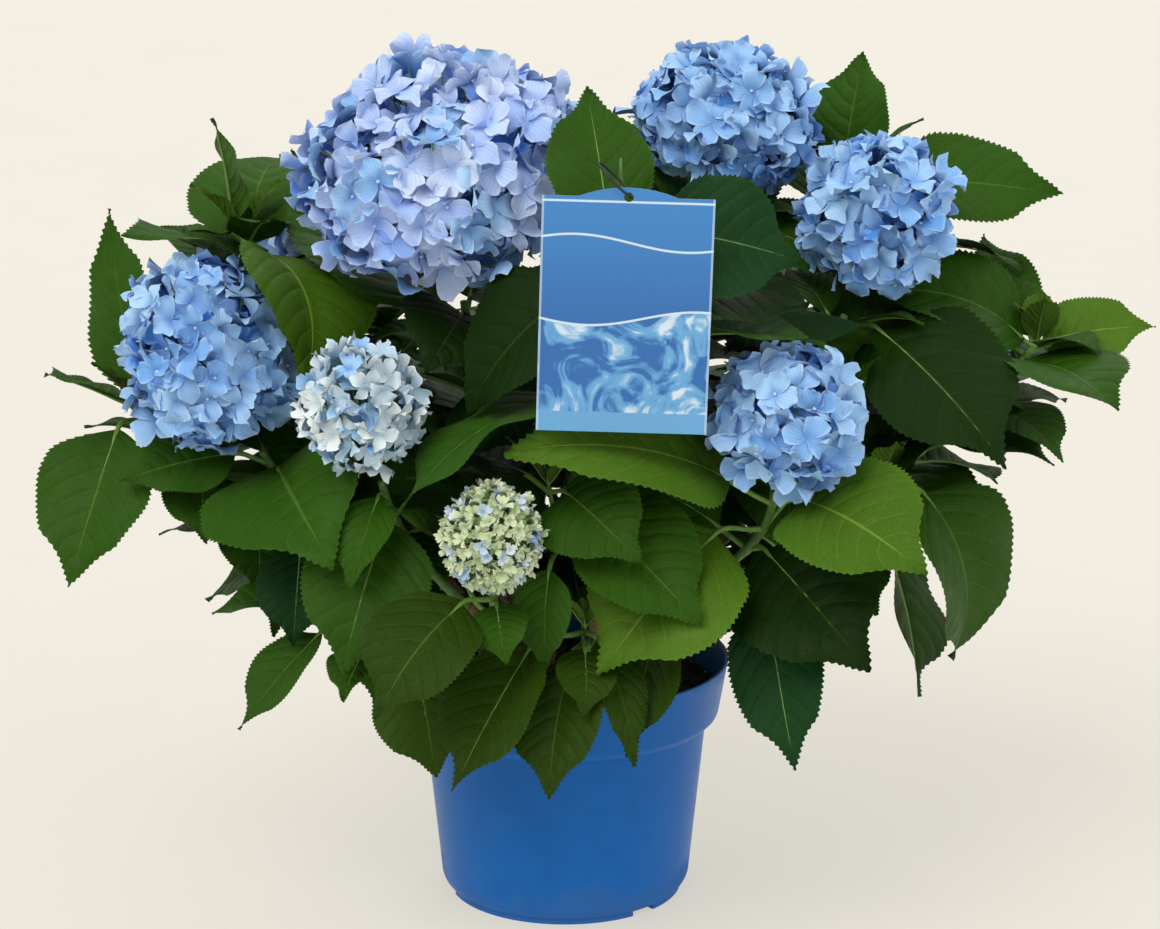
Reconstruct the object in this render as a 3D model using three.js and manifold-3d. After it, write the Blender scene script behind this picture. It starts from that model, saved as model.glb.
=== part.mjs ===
// A mophead hydrangea in its nursery pot: pot, compost, woody boughs, leafy shoots, flower heads and a hanging label.
// Millimetres, +Z up, the origin at the centre of the pot's flat underside, the front of the plant facing -Y.
import * as THREE from 'three';
import { mergeVertices } from 'three/addons/utils/BufferGeometryUtils.js';
import Module from 'manifold-3d';

const wasm = await Module();
wasm.setup();

// Driving dimensions
const GAP = 0.35; // clear space between two pieces that touch on the real plant
const SIDE_GAP = 0.15; // added to it where a stem starts on the round side of a bough
const LEAF_GAP = 0.9; // least clear space round a blade
const POT = {
  height: 170,
  rimRadius: 115,
  bandFootRadius: 108,
  band: 38,
  step: 9,
  shoulderRadius: 99,
  footRadius: 88,
  corner: 15,
  ringRadius: 82,
  ringHeight: 3.5,
  wall: 2.2,
  floor: 3,
  sides: 32,
};
const NOTCH = { count: 3, first: -48, width: 19, depth: 11, height: 3.5 };
const DRAIN = { count: 6, radius: 5, ring: 46 };
const COMPOST = { top: 146, gap: 0.45 };
const LABEL = {
  width: 108,
  height: 151,
  crown: 6,
  shoulder: 23,
  thickness: 1,
  hole: 3,
  drop: 6,
  at: [41, -192, 538],
  tilt: -1.7,
};
const TIE = { radius: 15, wire: 0.75, reach: 12, above: 0.8, sides: 4, steps: 14 };
const BOUGH = { sides: 8, steps: 6, flare: 0.45, flareLength: 0.07 };
const STEM = { foot: 3.4, tip: 2.5, sides: 5, steps: 4, lowest: 0.12, reach: 0.38, sideReach: 0.19 };
const STALK = {
  share: 0.2,
  lift: 25,
  follow: 0.5,
  rings: [
    [0, 0],
    [0.06, 2],
    [1, 1.7],
  ],
};
const BLADE = {
  shares: [0, 0.28, 0.66, 1],
  width: 0.7,
  thickness: 0.014,
  fold: 12,
  droop: 45,
  wide: 0.8,
  taper: 1.15,
};
const PAIR = { first: 24, spacing: 30, rise: 18, fall: 14, length: 116, growth: 10 };
const SPREAD = { heading: 24, rise: 16, length: 24, droop: 20, roll: 24, fold: 8, width: 0.08 };
const FLORET = { radius: 28, share: 0.42, cover: 0.35, inset: 0.87, root: 0.6, cup: 0.14, tilt: 26, bare: 0.18 };
const CORE = 0.84;

const rad = THREE.MathUtils.degToRad;
const UP = new THREE.Vector3(0, 0, 1);

// Woody boughs, from a flat cut on the compost to the fork where the green shoots start
const BOUGHS = {
  left: { foot: [-50, -6], tip: [-104, -22, 250], radii: [6.5, 5] },
  front_left: { foot: [-34, -44], tip: [-66, -84, 232], radii: [6, 4.6] },
  middle: { foot: [-14, -4], tip: [-30, -14, 292], radii: [7.5, 5.4] },
  front: { foot: [14, -52], tip: [24, -96, 230], radii: [5.5, 4.4] },
  front_right: { foot: [50, -34], tip: [92, -66, 240], radii: [6, 4.6] },
  right: { foot: [54, 6], tip: [120, 8, 262], radii: [6.5, 5] },
  back: { foot: [22, 30], tip: [50, 52, 300], radii: [7, 5.2] },
  back_left: { foot: [-32, 38], tip: [-76, 92, 262], radii: [6.5, 5] },
  back_right: { foot: [50, 50], tip: [104, 110, 252], radii: [6, 4.8] },
};

// Green shoots. 'ring' is the bough's ring where the stem starts: the last of BOUGH.steps is the tip itself.
// A shoot with a bloom ends just below it; 'lean' is the [heading, angle from upright] of its upper end.
// 'leaves' sets the leaves that face the front: how far below the shoot's end, heading, rise, length and so on.
// 'more' is the number of further pairs that the rule adds below them, 'turn' the heading of the first of those.
const SHOOTS = [
  {
    name: 'top_left',
    bough: 'middle',
    ring: 6,
    bloom: { at: [-80, -60, 524], size: [103, 88, 79], neck: 26, tint: 0xa9b6e8 },
    lean: [-130, 12],
    leaves: [
      { down: 55, heading: -69, rise: -21, length: 90, droop: 8, roll: 46, stalk: 10, width: 0.95 },
      { down: 30, heading: 145, rise: 35, length: 160, droop: -30, roll: -10, stalk: 35, width: 0.8 },
      { down: 10, heading: -106, rise: -17, length: 85, droop: 63, roll: -25, stalk: 10, width: 0.89 },
    ],
    more: 3,
    turn: 40,
    seed: 3,
  },
  {
    name: 'top_right',
    bough: 'back',
    ring: 6,
    bloom: { at: [111, 40, 541], size: [66, 60, 52], neck: 22, tint: 0x86a8e6 },
    lean: [40, 10],
    leaves: [
      { down: 10, heading: 165, rise: 30, length: 120 },
      { down: 10, heading: -30, rise: -5, length: 90, roll: 30 },
      { down: 34, heading: 70, rise: 40, length: 115 },
    ],
    more: 2,
    turn: 120,
    seed: 5,
  },
  {
    name: 'right_high',
    bough: 'right',
    ring: 6,
    bloom: { at: [209, -20, 486], size: [54, 52, 57], neck: 24, tint: 0x7fa6e4 },
    lean: [-20, 16],
    leaves: [
      { down: 8, heading: -41, rise: -36, length: 137, droop: 29, roll: 23, stalk: 29, width: 0.83 },
      { down: 8, heading: -125, rise: -20, length: 115, droop: 60, roll: -20, stalk: 40, width: 0.85 },
      { down: 34, heading: 60, rise: 10, length: 120 },
    ],
    more: 3,
    turn: 90,
    seed: 7,
  },
  {
    name: 'left_flower',
    bough: 'left',
    ring: 6,
    bloom: { at: [-236, -60, 400], size: [62, 62, 72], neck: 18, tint: 0x7a9fe0 },
    lean: [-155, 26],
    leaves: [
      { down: 16, heading: -70, rise: -14, length: 139, droop: 48, roll: 32, stalk: 10, width: 0.88 },
      { down: 10, heading: -165, rise: -10, length: 80, droop: 20, roll: -40, stalk: 25 },
      { down: 60, heading: -100, rise: -68, length: 65, droop: 15, roll: -15, stalk: 68, width: 0.83 },
    ],
    more: 2,
    turn: 60,
    seed: 11,
  },
  {
    name: 'behind_left',
    bough: 'back_left',
    ring: 5,
    tip: [-222, 18, 465],
    lean: [170, 12],
    leaves: [
      { down: 3, heading: -155, rise: 80, length: 75, droop: 15, stalk: 14 },
      { down: 3, heading: -135, rise: 10, length: 40, droop: 10, stalk: 14 },
      { down: 25, heading: 165, rise: -20, length: 50, stalk: 25 },
      { down: 14, heading: 56, rise: 26, length: 107, droop: 61, stalk: 10, width: 0.91 },
      { down: 3, heading: -66, rise: -48, length: 114, droop: 92, roll: -26, stalk: 54, width: 0.95 },
    ],
    more: 2,
    turn: 30,
    seed: 73,
  },
  {
    name: 'far_left',
    bough: 'left',
    ring: 5,
    tip: [-292, 0, 345],
    lean: [175, 42],
    leaves: [
      { down: 3, heading: 120, rise: 71, length: 136, droop: 14, roll: -59, stalk: 10, width: 0.42 },
      { down: 3, heading: -130, rise: 25, length: 80, droop: 10, stalk: 20 },
      { down: 3, heading: -120, rise: -50, length: 115, droop: 15, stalk: 30 },
      { down: 34, heading: 100, rise: 10, length: 90 },
    ],
    more: 1,
    turn: 40,
    seed: 13,
  },
  {
    name: 'front_pale',
    bough: 'front_left',
    ring: 6,
    bloom: { at: [-131, -140, 383], size: [40, 40, 47], neck: 18, tint: 0xc3d6ee },
    lean: [-120, 22],
    leaves: [
      { down: 10, heading: -109, rise: -42, length: 74, droop: 24, stalk: 10, width: 0.52 },
      { down: 30, heading: -120, rise: -58, length: 108, droop: 40, roll: -20, stalk: 10, width: 0.8 },
    ],
    more: 1,
    turn: 80,
    seed: 17,
  },
  {
    name: 'front_bud',
    bough: 'front_left',
    ring: 5,
    bloom: { at: [-46, -190, 311], size: [33, 33, 40], neck: 16, tint: 0xd6dfb6 },
    lean: [-90, 30],
    leaves: [
      { down: 8, heading: -139, rise: -41, length: 99, droop: 47, roll: -27, stalk: 26, width: 0.75 },
      { down: 12, heading: -80, rise: -33, length: 50, droop: 35, roll: 17, stalk: 15, width: 0.79 },
    ],
    more: 1,
    turn: 20,
    seed: 19,
  },
  {
    name: 'front_right_flower',
    bough: 'front_right',
    ring: 6,
    bloom: { at: [144, -150, 380], size: [50, 48, 48], neck: 20, tint: 0x7fa4e4 },
    lean: [-75, 22],
    leaves: [
      { down: 10, heading: -45, rise: -15, length: 115, droop: 50, roll: 30, stalk: 25, width: 0.85 },
      { down: 10, heading: -160, rise: 20, length: 165, droop: 50, roll: -30, stalk: 35, width: 0.6 },
      { down: 34, heading: 15, rise: 45, length: 80, droop: 40, stalk: 60 },
      { down: 20, heading: 80, rise: 35, length: 110, roll: 15, width: 0.8 },
      { down: 60, heading: 170, rise: 10, length: 120, roll: -35, width: 0.8 },
      { down: 34, heading: -145, rise: -40, length: 126, droop: 32, roll: -33, stalk: 39, width: 0.84 },
      { down: 60, heading: -54, rise: -27, length: 125, droop: 32, roll: 38, stalk: 18, width: 0.83 },
      { down: 85, heading: -67, rise: -66, length: 113, droop: 10, roll: 37, stalk: 60, width: 0.56 },
      { down: 85, heading: -131, rise: -70, length: 103, droop: 8, stalk: 70, width: 0.82 },
    ],
    more: 0,
    turn: 0,
    seed: 23,
  },
  {
    name: 'label_shoot',
    bough: 'middle',
    ring: 5,
    tip: [36, -167, 552],
    lean: [-90, 3],
    leaves: [
      { down: 55, heading: 3, rise: -14, length: 97, droop: 30, roll: 60, stalk: 27, width: 0.85 },
      { down: 70, heading: 105, rise: 55, length: 100, droop: 20, stalk: 25 },
      { down: 90, heading: -165, rise: -25, length: 115, roll: -40, width: 0.8 },
      { down: 90, heading: -20, rise: -35, length: 110, roll: 30, width: 0.8 },
    ],
    more: 3,
    turn: 50,
    seed: 29,
  },
  {
    name: 'behind_right',
    bough: 'back_right',
    ring: 5,
    tip: [190, 52, 494],
    lean: [40, 8],
    leaves: [
      { down: 3, heading: 60, rise: 70, length: 85, droop: 15, stalk: 14, width: 0.85 },
      { down: 10, heading: -10, rise: 60, length: 70, stalk: 14, width: 0.4 },
      { down: 10, heading: -10, rise: -5, length: 120, droop: 25, roll: 45, stalk: 40, width: 0.62 },
    ],
    more: 2,
    turn: 100,
    seed: 79,
  },
  {
    name: 'far_right',
    bough: 'right',
    ring: 5,
    tip: [326, 20, 390],
    lean: [10, 46],
    leaves: [
      { down: 3, heading: -160, rise: 15, length: 130, droop: 80, roll: -30, stalk: 10 },
      { down: 3, heading: -10, rise: 10, length: 80, droop: 30, roll: 40, stalk: 6 },
      { down: 3, heading: 105, rise: 40, length: 60, droop: 10, stalk: 8 },
    ],
    more: 1,
    turn: 90,
    seed: 31,
  },
  {
    name: 'right_back_flower',
    bough: 'back_right',
    ring: 6,
    bloom: { at: [268, 92, 384], size: [50, 50, 46], neck: 20, tint: 0x7fa4e4 },
    lean: [20, 22],
    leaves: [{ down: 10, heading: 150, rise: 30, length: 115 }],
    more: 3,
    turn: 20,
    seed: 37,
  },
  {
    name: 'right_low',
    bough: 'front_right',
    ring: 5,
    tip: [216, -52, 312],
    lean: [-10, 40],
    leaves: [
      { down: 4, heading: 12, rise: -79, length: 134, droop: 83, roll: 45, stalk: 31, width: 0.86 },
      { down: 34, heading: 20, rise: -75, length: 140, droop: 25, stalk: 20 },
    ],
    more: 2,
    turn: 90,
    seed: 41,
  },
  {
    name: 'front_middle',
    bough: 'front',
    ring: 6,
    tip: [-10, -138, 332],
    lean: [-100, 20],
    leaves: [
      { down: 6, heading: -72, rise: -24, length: 104, droop: 55, roll: 40, stalk: 14, width: 0.85 },
      { down: 6, heading: 140, rise: 20, length: 100 },
      { down: 22, heading: -34, rise: -44, length: 104, droop: 18, roll: 30, stalk: 30, width: 0.82 },
      { down: 40, heading: -104, rise: -80, length: 67, droop: 27, roll: 21, stalk: 44, width: 0.68 },
    ],
    more: 2,
    turn: 170,
    seed: 43,
  },
  {
    name: 'front_low',
    bough: 'front',
    ring: 4,
    tip: [14, -142, 236],
    lean: [-90, 50],
    leaves: [
      { down: 8, heading: -140, rise: -44, length: 108, droop: 10, stalk: 46, width: 0.74 },
      { down: 8, heading: -55, rise: -55, length: 90, width: 0.4 },
      { down: 24, heading: -105, rise: -55, length: 95, droop: 20, stalk: 40 },
      { down: 24, heading: -75, rise: -35, length: 70, stalk: 40 },
      { down: 30, heading: 98, rise: 20, length: 90, droop: 20, roll: 0, stalk: 20, width: 0.85 },
    ],
    more: 0,
    turn: 0,
    seed: 47,
  },
  {
    name: 'left_low',
    bough: 'front_left',
    ring: 4,
    tip: [-138, -98, 226],
    lean: [-155, 48],
    leaves: [
      { down: 4, heading: 170, rise: -10, length: 70, stalk: 40 },
      { down: 10, heading: -155, rise: -45, length: 85, droop: 20, stalk: 35, width: 0.6 },
      { down: 30, heading: -70, rise: -60, length: 76, droop: 38, roll: 24, stalk: 53, width: 0.9 },
      { down: 30, heading: -110, rise: -25, length: 60, stalk: 35 },
    ],
    more: 0,
    turn: 0,
    seed: 53,
  },
  {
    name: 'back_left_flower',
    bough: 'back_left',
    ring: 6,
    bloom: { at: [-150, 150, 446], size: [70, 68, 58], neck: 22, tint: 0x8ba6e4 },
    lean: [130, 18],
    leaves: [],
    more: 4,
    turn: 100,
    seed: 59,
  },
  {
    name: 'back_low_left',
    bough: 'back_left',
    ring: 4,
    tip: [-190, 120, 290],
    lean: [150, 40],
    leaves: [],
    more: 3,
    turn: 140,
    seed: 61,
  },
  {
    name: 'back_flower',
    bough: 'back',
    ring: 5,
    bloom: { at: [40, 196, 430], size: [60, 58, 52], neck: 22, tint: 0x97b2ea },
    lean: [90, 24],
    leaves: [],
    more: 4,
    turn: 60,
    seed: 67,
  },
  {
    name: 'back_low_right',
    bough: 'back_right',
    ring: 4,
    tip: [150, 206, 296],
    lean: [60, 38],
    leaves: [],
    more: 3,
    turn: 30,
    seed: 71,
  },
];

// What a blade tries in turn when something is in its way: its own size first, and each way round in wider turns
const TRIES = { sizes: [1, 0.8], turns: [8, 16, 25] };
const WAYS = [
  [0, 1],
  [0, -1],
  [1, 0],
  [-1, 0],
  [1, 1],
  [-1, 1],
  [1, -1],
  [-1, -1],
];

// A small seeded random series, from 0 to 1
function series(seed) {
  let state = (seed * 7919 + 104729) % 2147483647;
  return () => {
    state = (state * 16807) % 2147483647;
    return state / 2147483647;
  };
}

const point = ([x, y, z]) => new THREE.Vector3(x, y, z);

// Unit vector at a heading in the ground plane (0 is +X, -90 the front) and a rise above it
function towards(heading, rise) {
  const level = Math.cos(rad(rise));
  return new THREE.Vector3(
    level * Math.cos(rad(heading)),
    level * Math.sin(rad(heading)),
    Math.sin(rad(rise)),
  );
}

// A closed three.js geometry as a solid, and a solid as a geometry
function solidOf(geometry) {
  const bare = geometry.clone();
  bare.deleteAttribute('normal');
  bare.deleteAttribute('uv');
  const merged = mergeVertices(bare, 1e-4);
  return new wasm.Manifold(
    new wasm.Mesh({
      numProp: 3,
      vertProperties: merged.attributes.position.array,
      triVerts: new Uint32Array(merged.index.array),
    }),
  );
}

function geometryOf(solid) {
  const mesh = solid.getMesh();
  const geometry = new THREE.BufferGeometry();
  geometry.setAttribute('position', new THREE.BufferAttribute(mesh.vertProperties, 3));
  geometry.setIndex(new THREE.BufferAttribute(mesh.triVerts, 1));
  geometry.computeVertexNormals();
  return geometry;
}

// A round limb: a cylinder bent on to a curve, its radius a function of the share of the way along
function limb(curve, radiusAt, sides, steps) {
  const geometry = new THREE.CylinderGeometry(1, 1, 1, sides, steps);
  const frames = curve.computeFrenetFrames(steps);
  const place = geometry.attributes.position;
  for (let i = 0; i < place.count; i++) {
    const step = Math.round((place.getY(i) + 0.5) * steps);
    const radius = radiusAt(step / steps);
    const at = curve.getPointAt(step / steps);
    at.addScaledVector(frames.normals[step], place.getX(i) * radius);
    at.addScaledVector(frames.binormals[step], -place.getZ(i) * radius);
    place.setXYZ(i, at.x, at.y, at.z);
  }
  return solidOf(geometry);
}

// Pot

// The outer wall's radii and heights from the edge of the foot up to the rim
function wallProfile() {
  const { footRadius, corner, ringRadius, ringHeight, shoulderRadius, height, band, step } = POT;
  const arc = [-42, -20, 0].map((angle) => [
    footRadius - corner * (1 - Math.cos(rad(angle))),
    corner * (1 + Math.sin(rad(angle))),
  ]);
  return [
    [ringRadius, ringHeight],
    ...arc,
    [shoulderRadius, height - band - step],
    [shoulderRadius + 0.55 * (POT.bandFootRadius - shoulderRadius), height - band - 0.55 * step],
    [POT.bandFootRadius, height - band],
    [POT.rimRadius - 0.6, height - 2],
  ];
}

function turned(profile) {
  const points = profile.map(([radius, z]) => new THREE.Vector2(radius, z));
  return solidOf(new THREE.LatheGeometry(points, POT.sides).rotateX(Math.PI / 2));
}

function pot() {
  const wall = wallProfile();
  const inside = wall.map(([radius, z]) => [radius - POT.wall, Math.max(z, POT.floor + 2)]).slice(1);
  let solid = turned([
    [0, 0],
    [POT.ringRadius, 0],
    ...wall,
    [POT.rimRadius, POT.height - 1],
    [POT.rimRadius - 0.8, POT.height],
    [POT.rimRadius - POT.wall, POT.height],
    ...inside.reverse(),
    [POT.ringRadius - 10, POT.floor],
    [0, POT.floor],
  ]);
  for (let i = 0; i < NOTCH.count; i++) {
    const notch = new THREE.BoxGeometry(NOTCH.depth * 2, NOTCH.width, NOTCH.height * 2);
    notch.translate(POT.ringRadius, 0, 0).rotateZ(rad(NOTCH.first + (i * 360) / NOTCH.count));
    solid = solid.subtract(solidOf(notch));
  }
  for (let i = 0; i < DRAIN.count; i++) {
    const hole = new THREE.CylinderGeometry(DRAIN.radius, DRAIN.radius, POT.floor * 4, 12);
    hole.rotateX(Math.PI / 2).translate(DRAIN.ring, 0, 0).rotateZ((i * 2 * Math.PI) / DRAIN.count);
    solid = solid.subtract(solidOf(hole));
  }
  return solid;
}

function compost() {
  const edge = wallProfile()
    .slice(1)
    .map(([radius, z]) => [radius - POT.wall - COMPOST.gap, Math.max(z, POT.floor + 2 + COMPOST.gap)])
    .filter(([, z]) => z < COMPOST.top);
  const [lastRadius, lastZ] = edge[edge.length - 1];
  const slope = (POT.rimRadius - POT.bandFootRadius) / POT.band;
  return turned([
    [0, POT.floor + COMPOST.gap],
    [POT.ringRadius - 10 - COMPOST.gap, POT.floor + COMPOST.gap],
    ...edge,
    [lastRadius + slope * (COMPOST.top - lastZ), COMPOST.top],
    [0, COMPOST.top],
  ]);
}

// Label and its tie

// The label hangs upright, its front to -Y, with flat shoulders and a domed middle
function labelPlace() {
  const place = new THREE.Matrix4().makeTranslation(...LABEL.at);
  place.multiply(new THREE.Matrix4().makeRotationY(rad(-LABEL.tilt)));
  return place.multiply(new THREE.Matrix4().makeRotationX(Math.PI / 2));
}

function label() {
  const half = LABEL.width / 2;
  const domeHalf = half - LABEL.shoulder;
  const domeRadius = (domeHalf ** 2 + LABEL.crown ** 2) / (2 * LABEL.crown);
  const sweep = Math.asin(domeHalf / domeRadius);
  const outlineOf = new THREE.Shape();
  outlineOf.moveTo(-half, -LABEL.crown);
  outlineOf.lineTo(-half, -LABEL.crown - LABEL.height);
  outlineOf.lineTo(half, -LABEL.crown - LABEL.height);
  outlineOf.lineTo(half, -LABEL.crown);
  outlineOf.absarc(0, -domeRadius, domeRadius, Math.PI / 2 - sweep, Math.PI / 2 + sweep, false);
  outlineOf.closePath();
  const hole = new THREE.Path();
  hole.absarc(0, -LABEL.drop, LABEL.hole, 0, 2 * Math.PI, true);
  outlineOf.holes.push(hole);
  const geometry = new THREE.ExtrudeGeometry(outlineOf, {
    depth: LABEL.thickness,
    bevelEnabled: false,
    curveSegments: 8,
  });
  geometry.translate(0, 0, -LABEL.thickness / 2).applyMatrix4(labelPlace());
  return solidOf(geometry);
}

// A wire ring, tilted half way over, through the label's hole and round the stem behind it
function tie() {
  const threaded = new THREE.Vector3(0, -LABEL.drop + TIE.above, 0);
  threaded.applyMatrix4(labelPlace());
  const behind = Math.sqrt(TIE.radius ** 2 - TIE.reach ** 2);
  const across = TIE.reach * Math.SQRT1_2;
  const ring = new THREE.TorusGeometry(TIE.radius, TIE.wire, TIE.sides, TIE.steps);
  ring.rotateY(Math.PI / 4);
  ring.translate(threaded.x - across, threaded.y + behind, threaded.z + across);
  return solidOf(ring);
}

// Woody boughs

function boughCurve({ foot, tip }) {
  const low = COMPOST.top + GAP;
  return new THREE.QuadraticBezierCurve3(
    new THREE.Vector3(foot[0], foot[1], low),
    new THREE.Vector3(foot[0], foot[1], low + 0.5 * (tip[2] - low)),
    point(tip),
  );
}

function boughRadius({ radii }, share) {
  const flare = 1 + BOUGH.flare * Math.exp(-share / BOUGH.flareLength);
  return (radii[0] + (radii[1] - radii[0]) * share) * flare;
}

// Green stems

// The stem's upper end: the shoot's tip, or just under its bloom
function shootEnd(shoot) {
  const lean = towards(shoot.lean[0], 90 - shoot.lean[1]);
  if (!shoot.bloom) return { end: point(shoot.tip), lean };
  const { at, size, neck } = shoot.bloom;
  return { end: point(at).addScaledVector(lean, -size[2] * CORE - neck), lean };
}

function stemCurve(shoot) {
  const bough = BOUGHS[shoot.bough];
  const path = boughCurve(bough);
  const { end, lean } = shootEnd(shoot);
  const share = shoot.ring / BOUGH.steps;
  const along = path.getTangentAt(share);
  const seat = path.getPointAt(share);
  const out = along.clone();
  const beside = shoot.ring < BOUGH.steps;
  let clear = GAP;
  if (beside) {
    out.subVectors(end, seat).setZ(0);
    out.addScaledVector(along, -out.dot(along)).normalize();
    clear += boughRadius(bough, share) + SIDE_GAP;
  }
  const start = seat.addScaledVector(out, clear);
  const span = start.distanceTo(end);
  return new THREE.CubicBezierCurve3(
    start,
    start.clone().addScaledVector(out, span * (beside ? STEM.sideReach : STEM.reach)),
    end.clone().addScaledVector(lean, -span * STEM.reach),
    end,
  );
}

const stemRadius = (share) => STEM.foot + (STEM.tip - STEM.foot) * share;

// Leaves

// Half the blade's width at a share of its length: broad below the middle and drawn out to a point
function outline(share) {
  const shape = (s) => s ** BLADE.wide * (1 - s) ** BLADE.taper;
  return shape(share) / shape(BLADE.wide / (BLADE.wide + BLADE.taper));
}

// A point of the midrib and its slope, in the blade's own upright plane
function midrib(leaf, share) {
  const bend = rad(leaf.droop);
  const start = rad(leaf.rise) + bend / 2;
  const slope = start - bend * share;
  const along = (leaf.length * (Math.sin(start) - Math.sin(slope))) / bend;
  const up = (leaf.length * (Math.cos(slope) - Math.cos(start))) / bend;
  return { along, up, slope };
}

// From the blade's own frame (along, side, up) to the plant's: rolled about its chord, then turned to its heading
function bladePlace(leaf) {
  const place = new THREE.Matrix4().makeTranslation(leaf.base.x, leaf.base.y, leaf.base.z);
  place.multiply(new THREE.Matrix4().makeRotationZ(rad(leaf.heading)));
  return place.multiply(new THREE.Matrix4().makeRotationAxis(towards(0, leaf.rise), rad(leaf.roll)));
}

// A blade, or a blade with its stalk: a sphere of few faces drawn out along the leaf, its rows the rings of 'shape'
function leafBody(shape) {
  const rows = shape.length - 1;
  const geometry = new THREE.SphereGeometry(1, 4, rows);
  const place = geometry.attributes.position;
  for (let i = 0; i < place.count; i++) {
    const row = Math.round((Math.acos(place.getY(i)) / Math.PI) * rows);
    const ring = Math.hypot(place.getX(i), place.getZ(i)) || 1;
    place.setXYZ(i, ...shape[row](place.getX(i) / ring, place.getZ(i) / ring));
  }
  return solidOf(geometry);
}

// The rings of the blade, folded up a little on both sides of the midrib, from its foot to its point
function bladeRings(leaf) {
  const place = bladePlace(leaf);
  return BLADE.shares.map((share) => (across, over) => {
    const side = across * outline(share) * 0.5 * leaf.width * leaf.length;
    const thick = over * BLADE.thickness * 0.5 * leaf.length;
    const lift = thick + Math.abs(side) * Math.tan(rad(leaf.fold));
    const rib = midrib(leaf, share);
    const at = new THREE.Vector3(rib.along - Math.sin(rib.slope) * lift, side, rib.up + Math.cos(rib.slope) * lift);
    return at.applyMatrix4(place).toArray();
  });
}

// The rings of the stalk, from the middle of the stem to the foot of the blade
function stalkRings(leaf) {
  const run = leaf.base.clone().sub(leaf.node);
  const side = new THREE.Vector3().crossVectors(UP, run).normalize();
  const over = new THREE.Vector3().crossVectors(run, side).normalize();
  return STALK.rings.map(([share, radius]) => (x, z) => {
    const at = leaf.node.clone().addScaledVector(run, share);
    return at.addScaledVector(side, x * radius).addScaledVector(over, z * radius).toArray();
  });
}

// The leaves that a shoot asks for: the set ones, then pairs that turn a quarter way round at each node
function wanted(shoot, curve) {
  const draw = series(shoot.seed);
  const length = curve.getLength();
  const asked = shoot.leaves.map((leaf) => ({ ...leaf, set: true }));
  const lowest = Math.max(-PAIR.first / 2, ...shoot.leaves.map((leaf) => leaf.down));
  for (let i = 0; i < shoot.more * 2; i++) {
    const pair = Math.floor(i / 2);
    asked.push({
      down: lowest + PAIR.first + pair * PAIR.spacing,
      heading: shoot.turn + pair * 90 + (i % 2) * 180 + (draw() - 0.5) * SPREAD.heading,
      rise: PAIR.rise - pair * PAIR.fall + (draw() - 0.5) * SPREAD.rise,
      length: PAIR.length + pair * PAIR.growth + (draw() - 0.5) * SPREAD.length,
    });
  }
  return asked.map((leaf) => ({
    droop: BLADE.droop + (draw() - 0.5) * SPREAD.droop,
    roll: (draw() - 0.5) * SPREAD.roll,
    fold: BLADE.fold + (draw() - 0.5) * SPREAD.fold,
    width: BLADE.width + (draw() - 0.5) * SPREAD.width,
    stalk: leaf.length * STALK.share,
    node: curve.getPointAt(Math.max(STEM.lowest, 1 - leaf.down / length)),
    ...leaf,
  }));
}

// The leaf turned and sized as one of its tries
function turnedLeaf(leaf, heading, rise, size) {
  const made = { ...leaf, heading: leaf.heading + heading, rise: leaf.rise + rise, length: leaf.length * size };
  const lift = made.rise * STALK.follow + STALK.lift;
  made.base = made.node.clone().addScaledVector(towards(made.heading, lift), made.stalk);
  return made;
}

function* tries(leaf) {
  for (const size of TRIES.sizes) {
    yield turnedLeaf(leaf, 0, 0, size);
    for (const turn of TRIES.turns) {
      for (const [heading, rise] of WAYS) yield turnedLeaf(leaf, heading * turn, rise * turn, size);
    }
  }
}

// Flower heads

// Evenly spread outward directions over a head, from its top down to where the stem comes in
function headPlaces(count) {
  const golden = Math.PI * (3 - Math.sqrt(5));
  return Array.from({ length: count }, (_, i) => {
    const up = 1 - ((2 - FLORET.bare) * (i + 0.5)) / count;
    const level = Math.sqrt(1 - up * up);
    return new THREE.Vector3(level * Math.cos(golden * i), level * Math.sin(golden * i), up);
  });
}

// One floret: four petal tips round a hollow middle, with its root drawn down into the core
function floret(radius, draw) {
  const geometry = new THREE.SphereGeometry(1, 4, 2);
  const place = geometry.attributes.position;
  for (let i = 0; i < place.count; i++) {
    const ring = Math.hypot(place.getX(i), place.getZ(i));
    const height = place.getY(i) < -0.5 ? -FLORET.root : ring * FLORET.cup;
    place.setXYZ(i, place.getX(i), height, place.getZ(i));
  }
  const size = radius * (0.88 + draw() * 0.26);
  geometry.rotateY(draw() * Math.PI).rotateX(rad((draw() - 0.5) * FLORET.tilt));
  return geometry.rotateZ(rad((draw() - 0.5) * FLORET.tilt)).scale(size, size, size);
}

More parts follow.
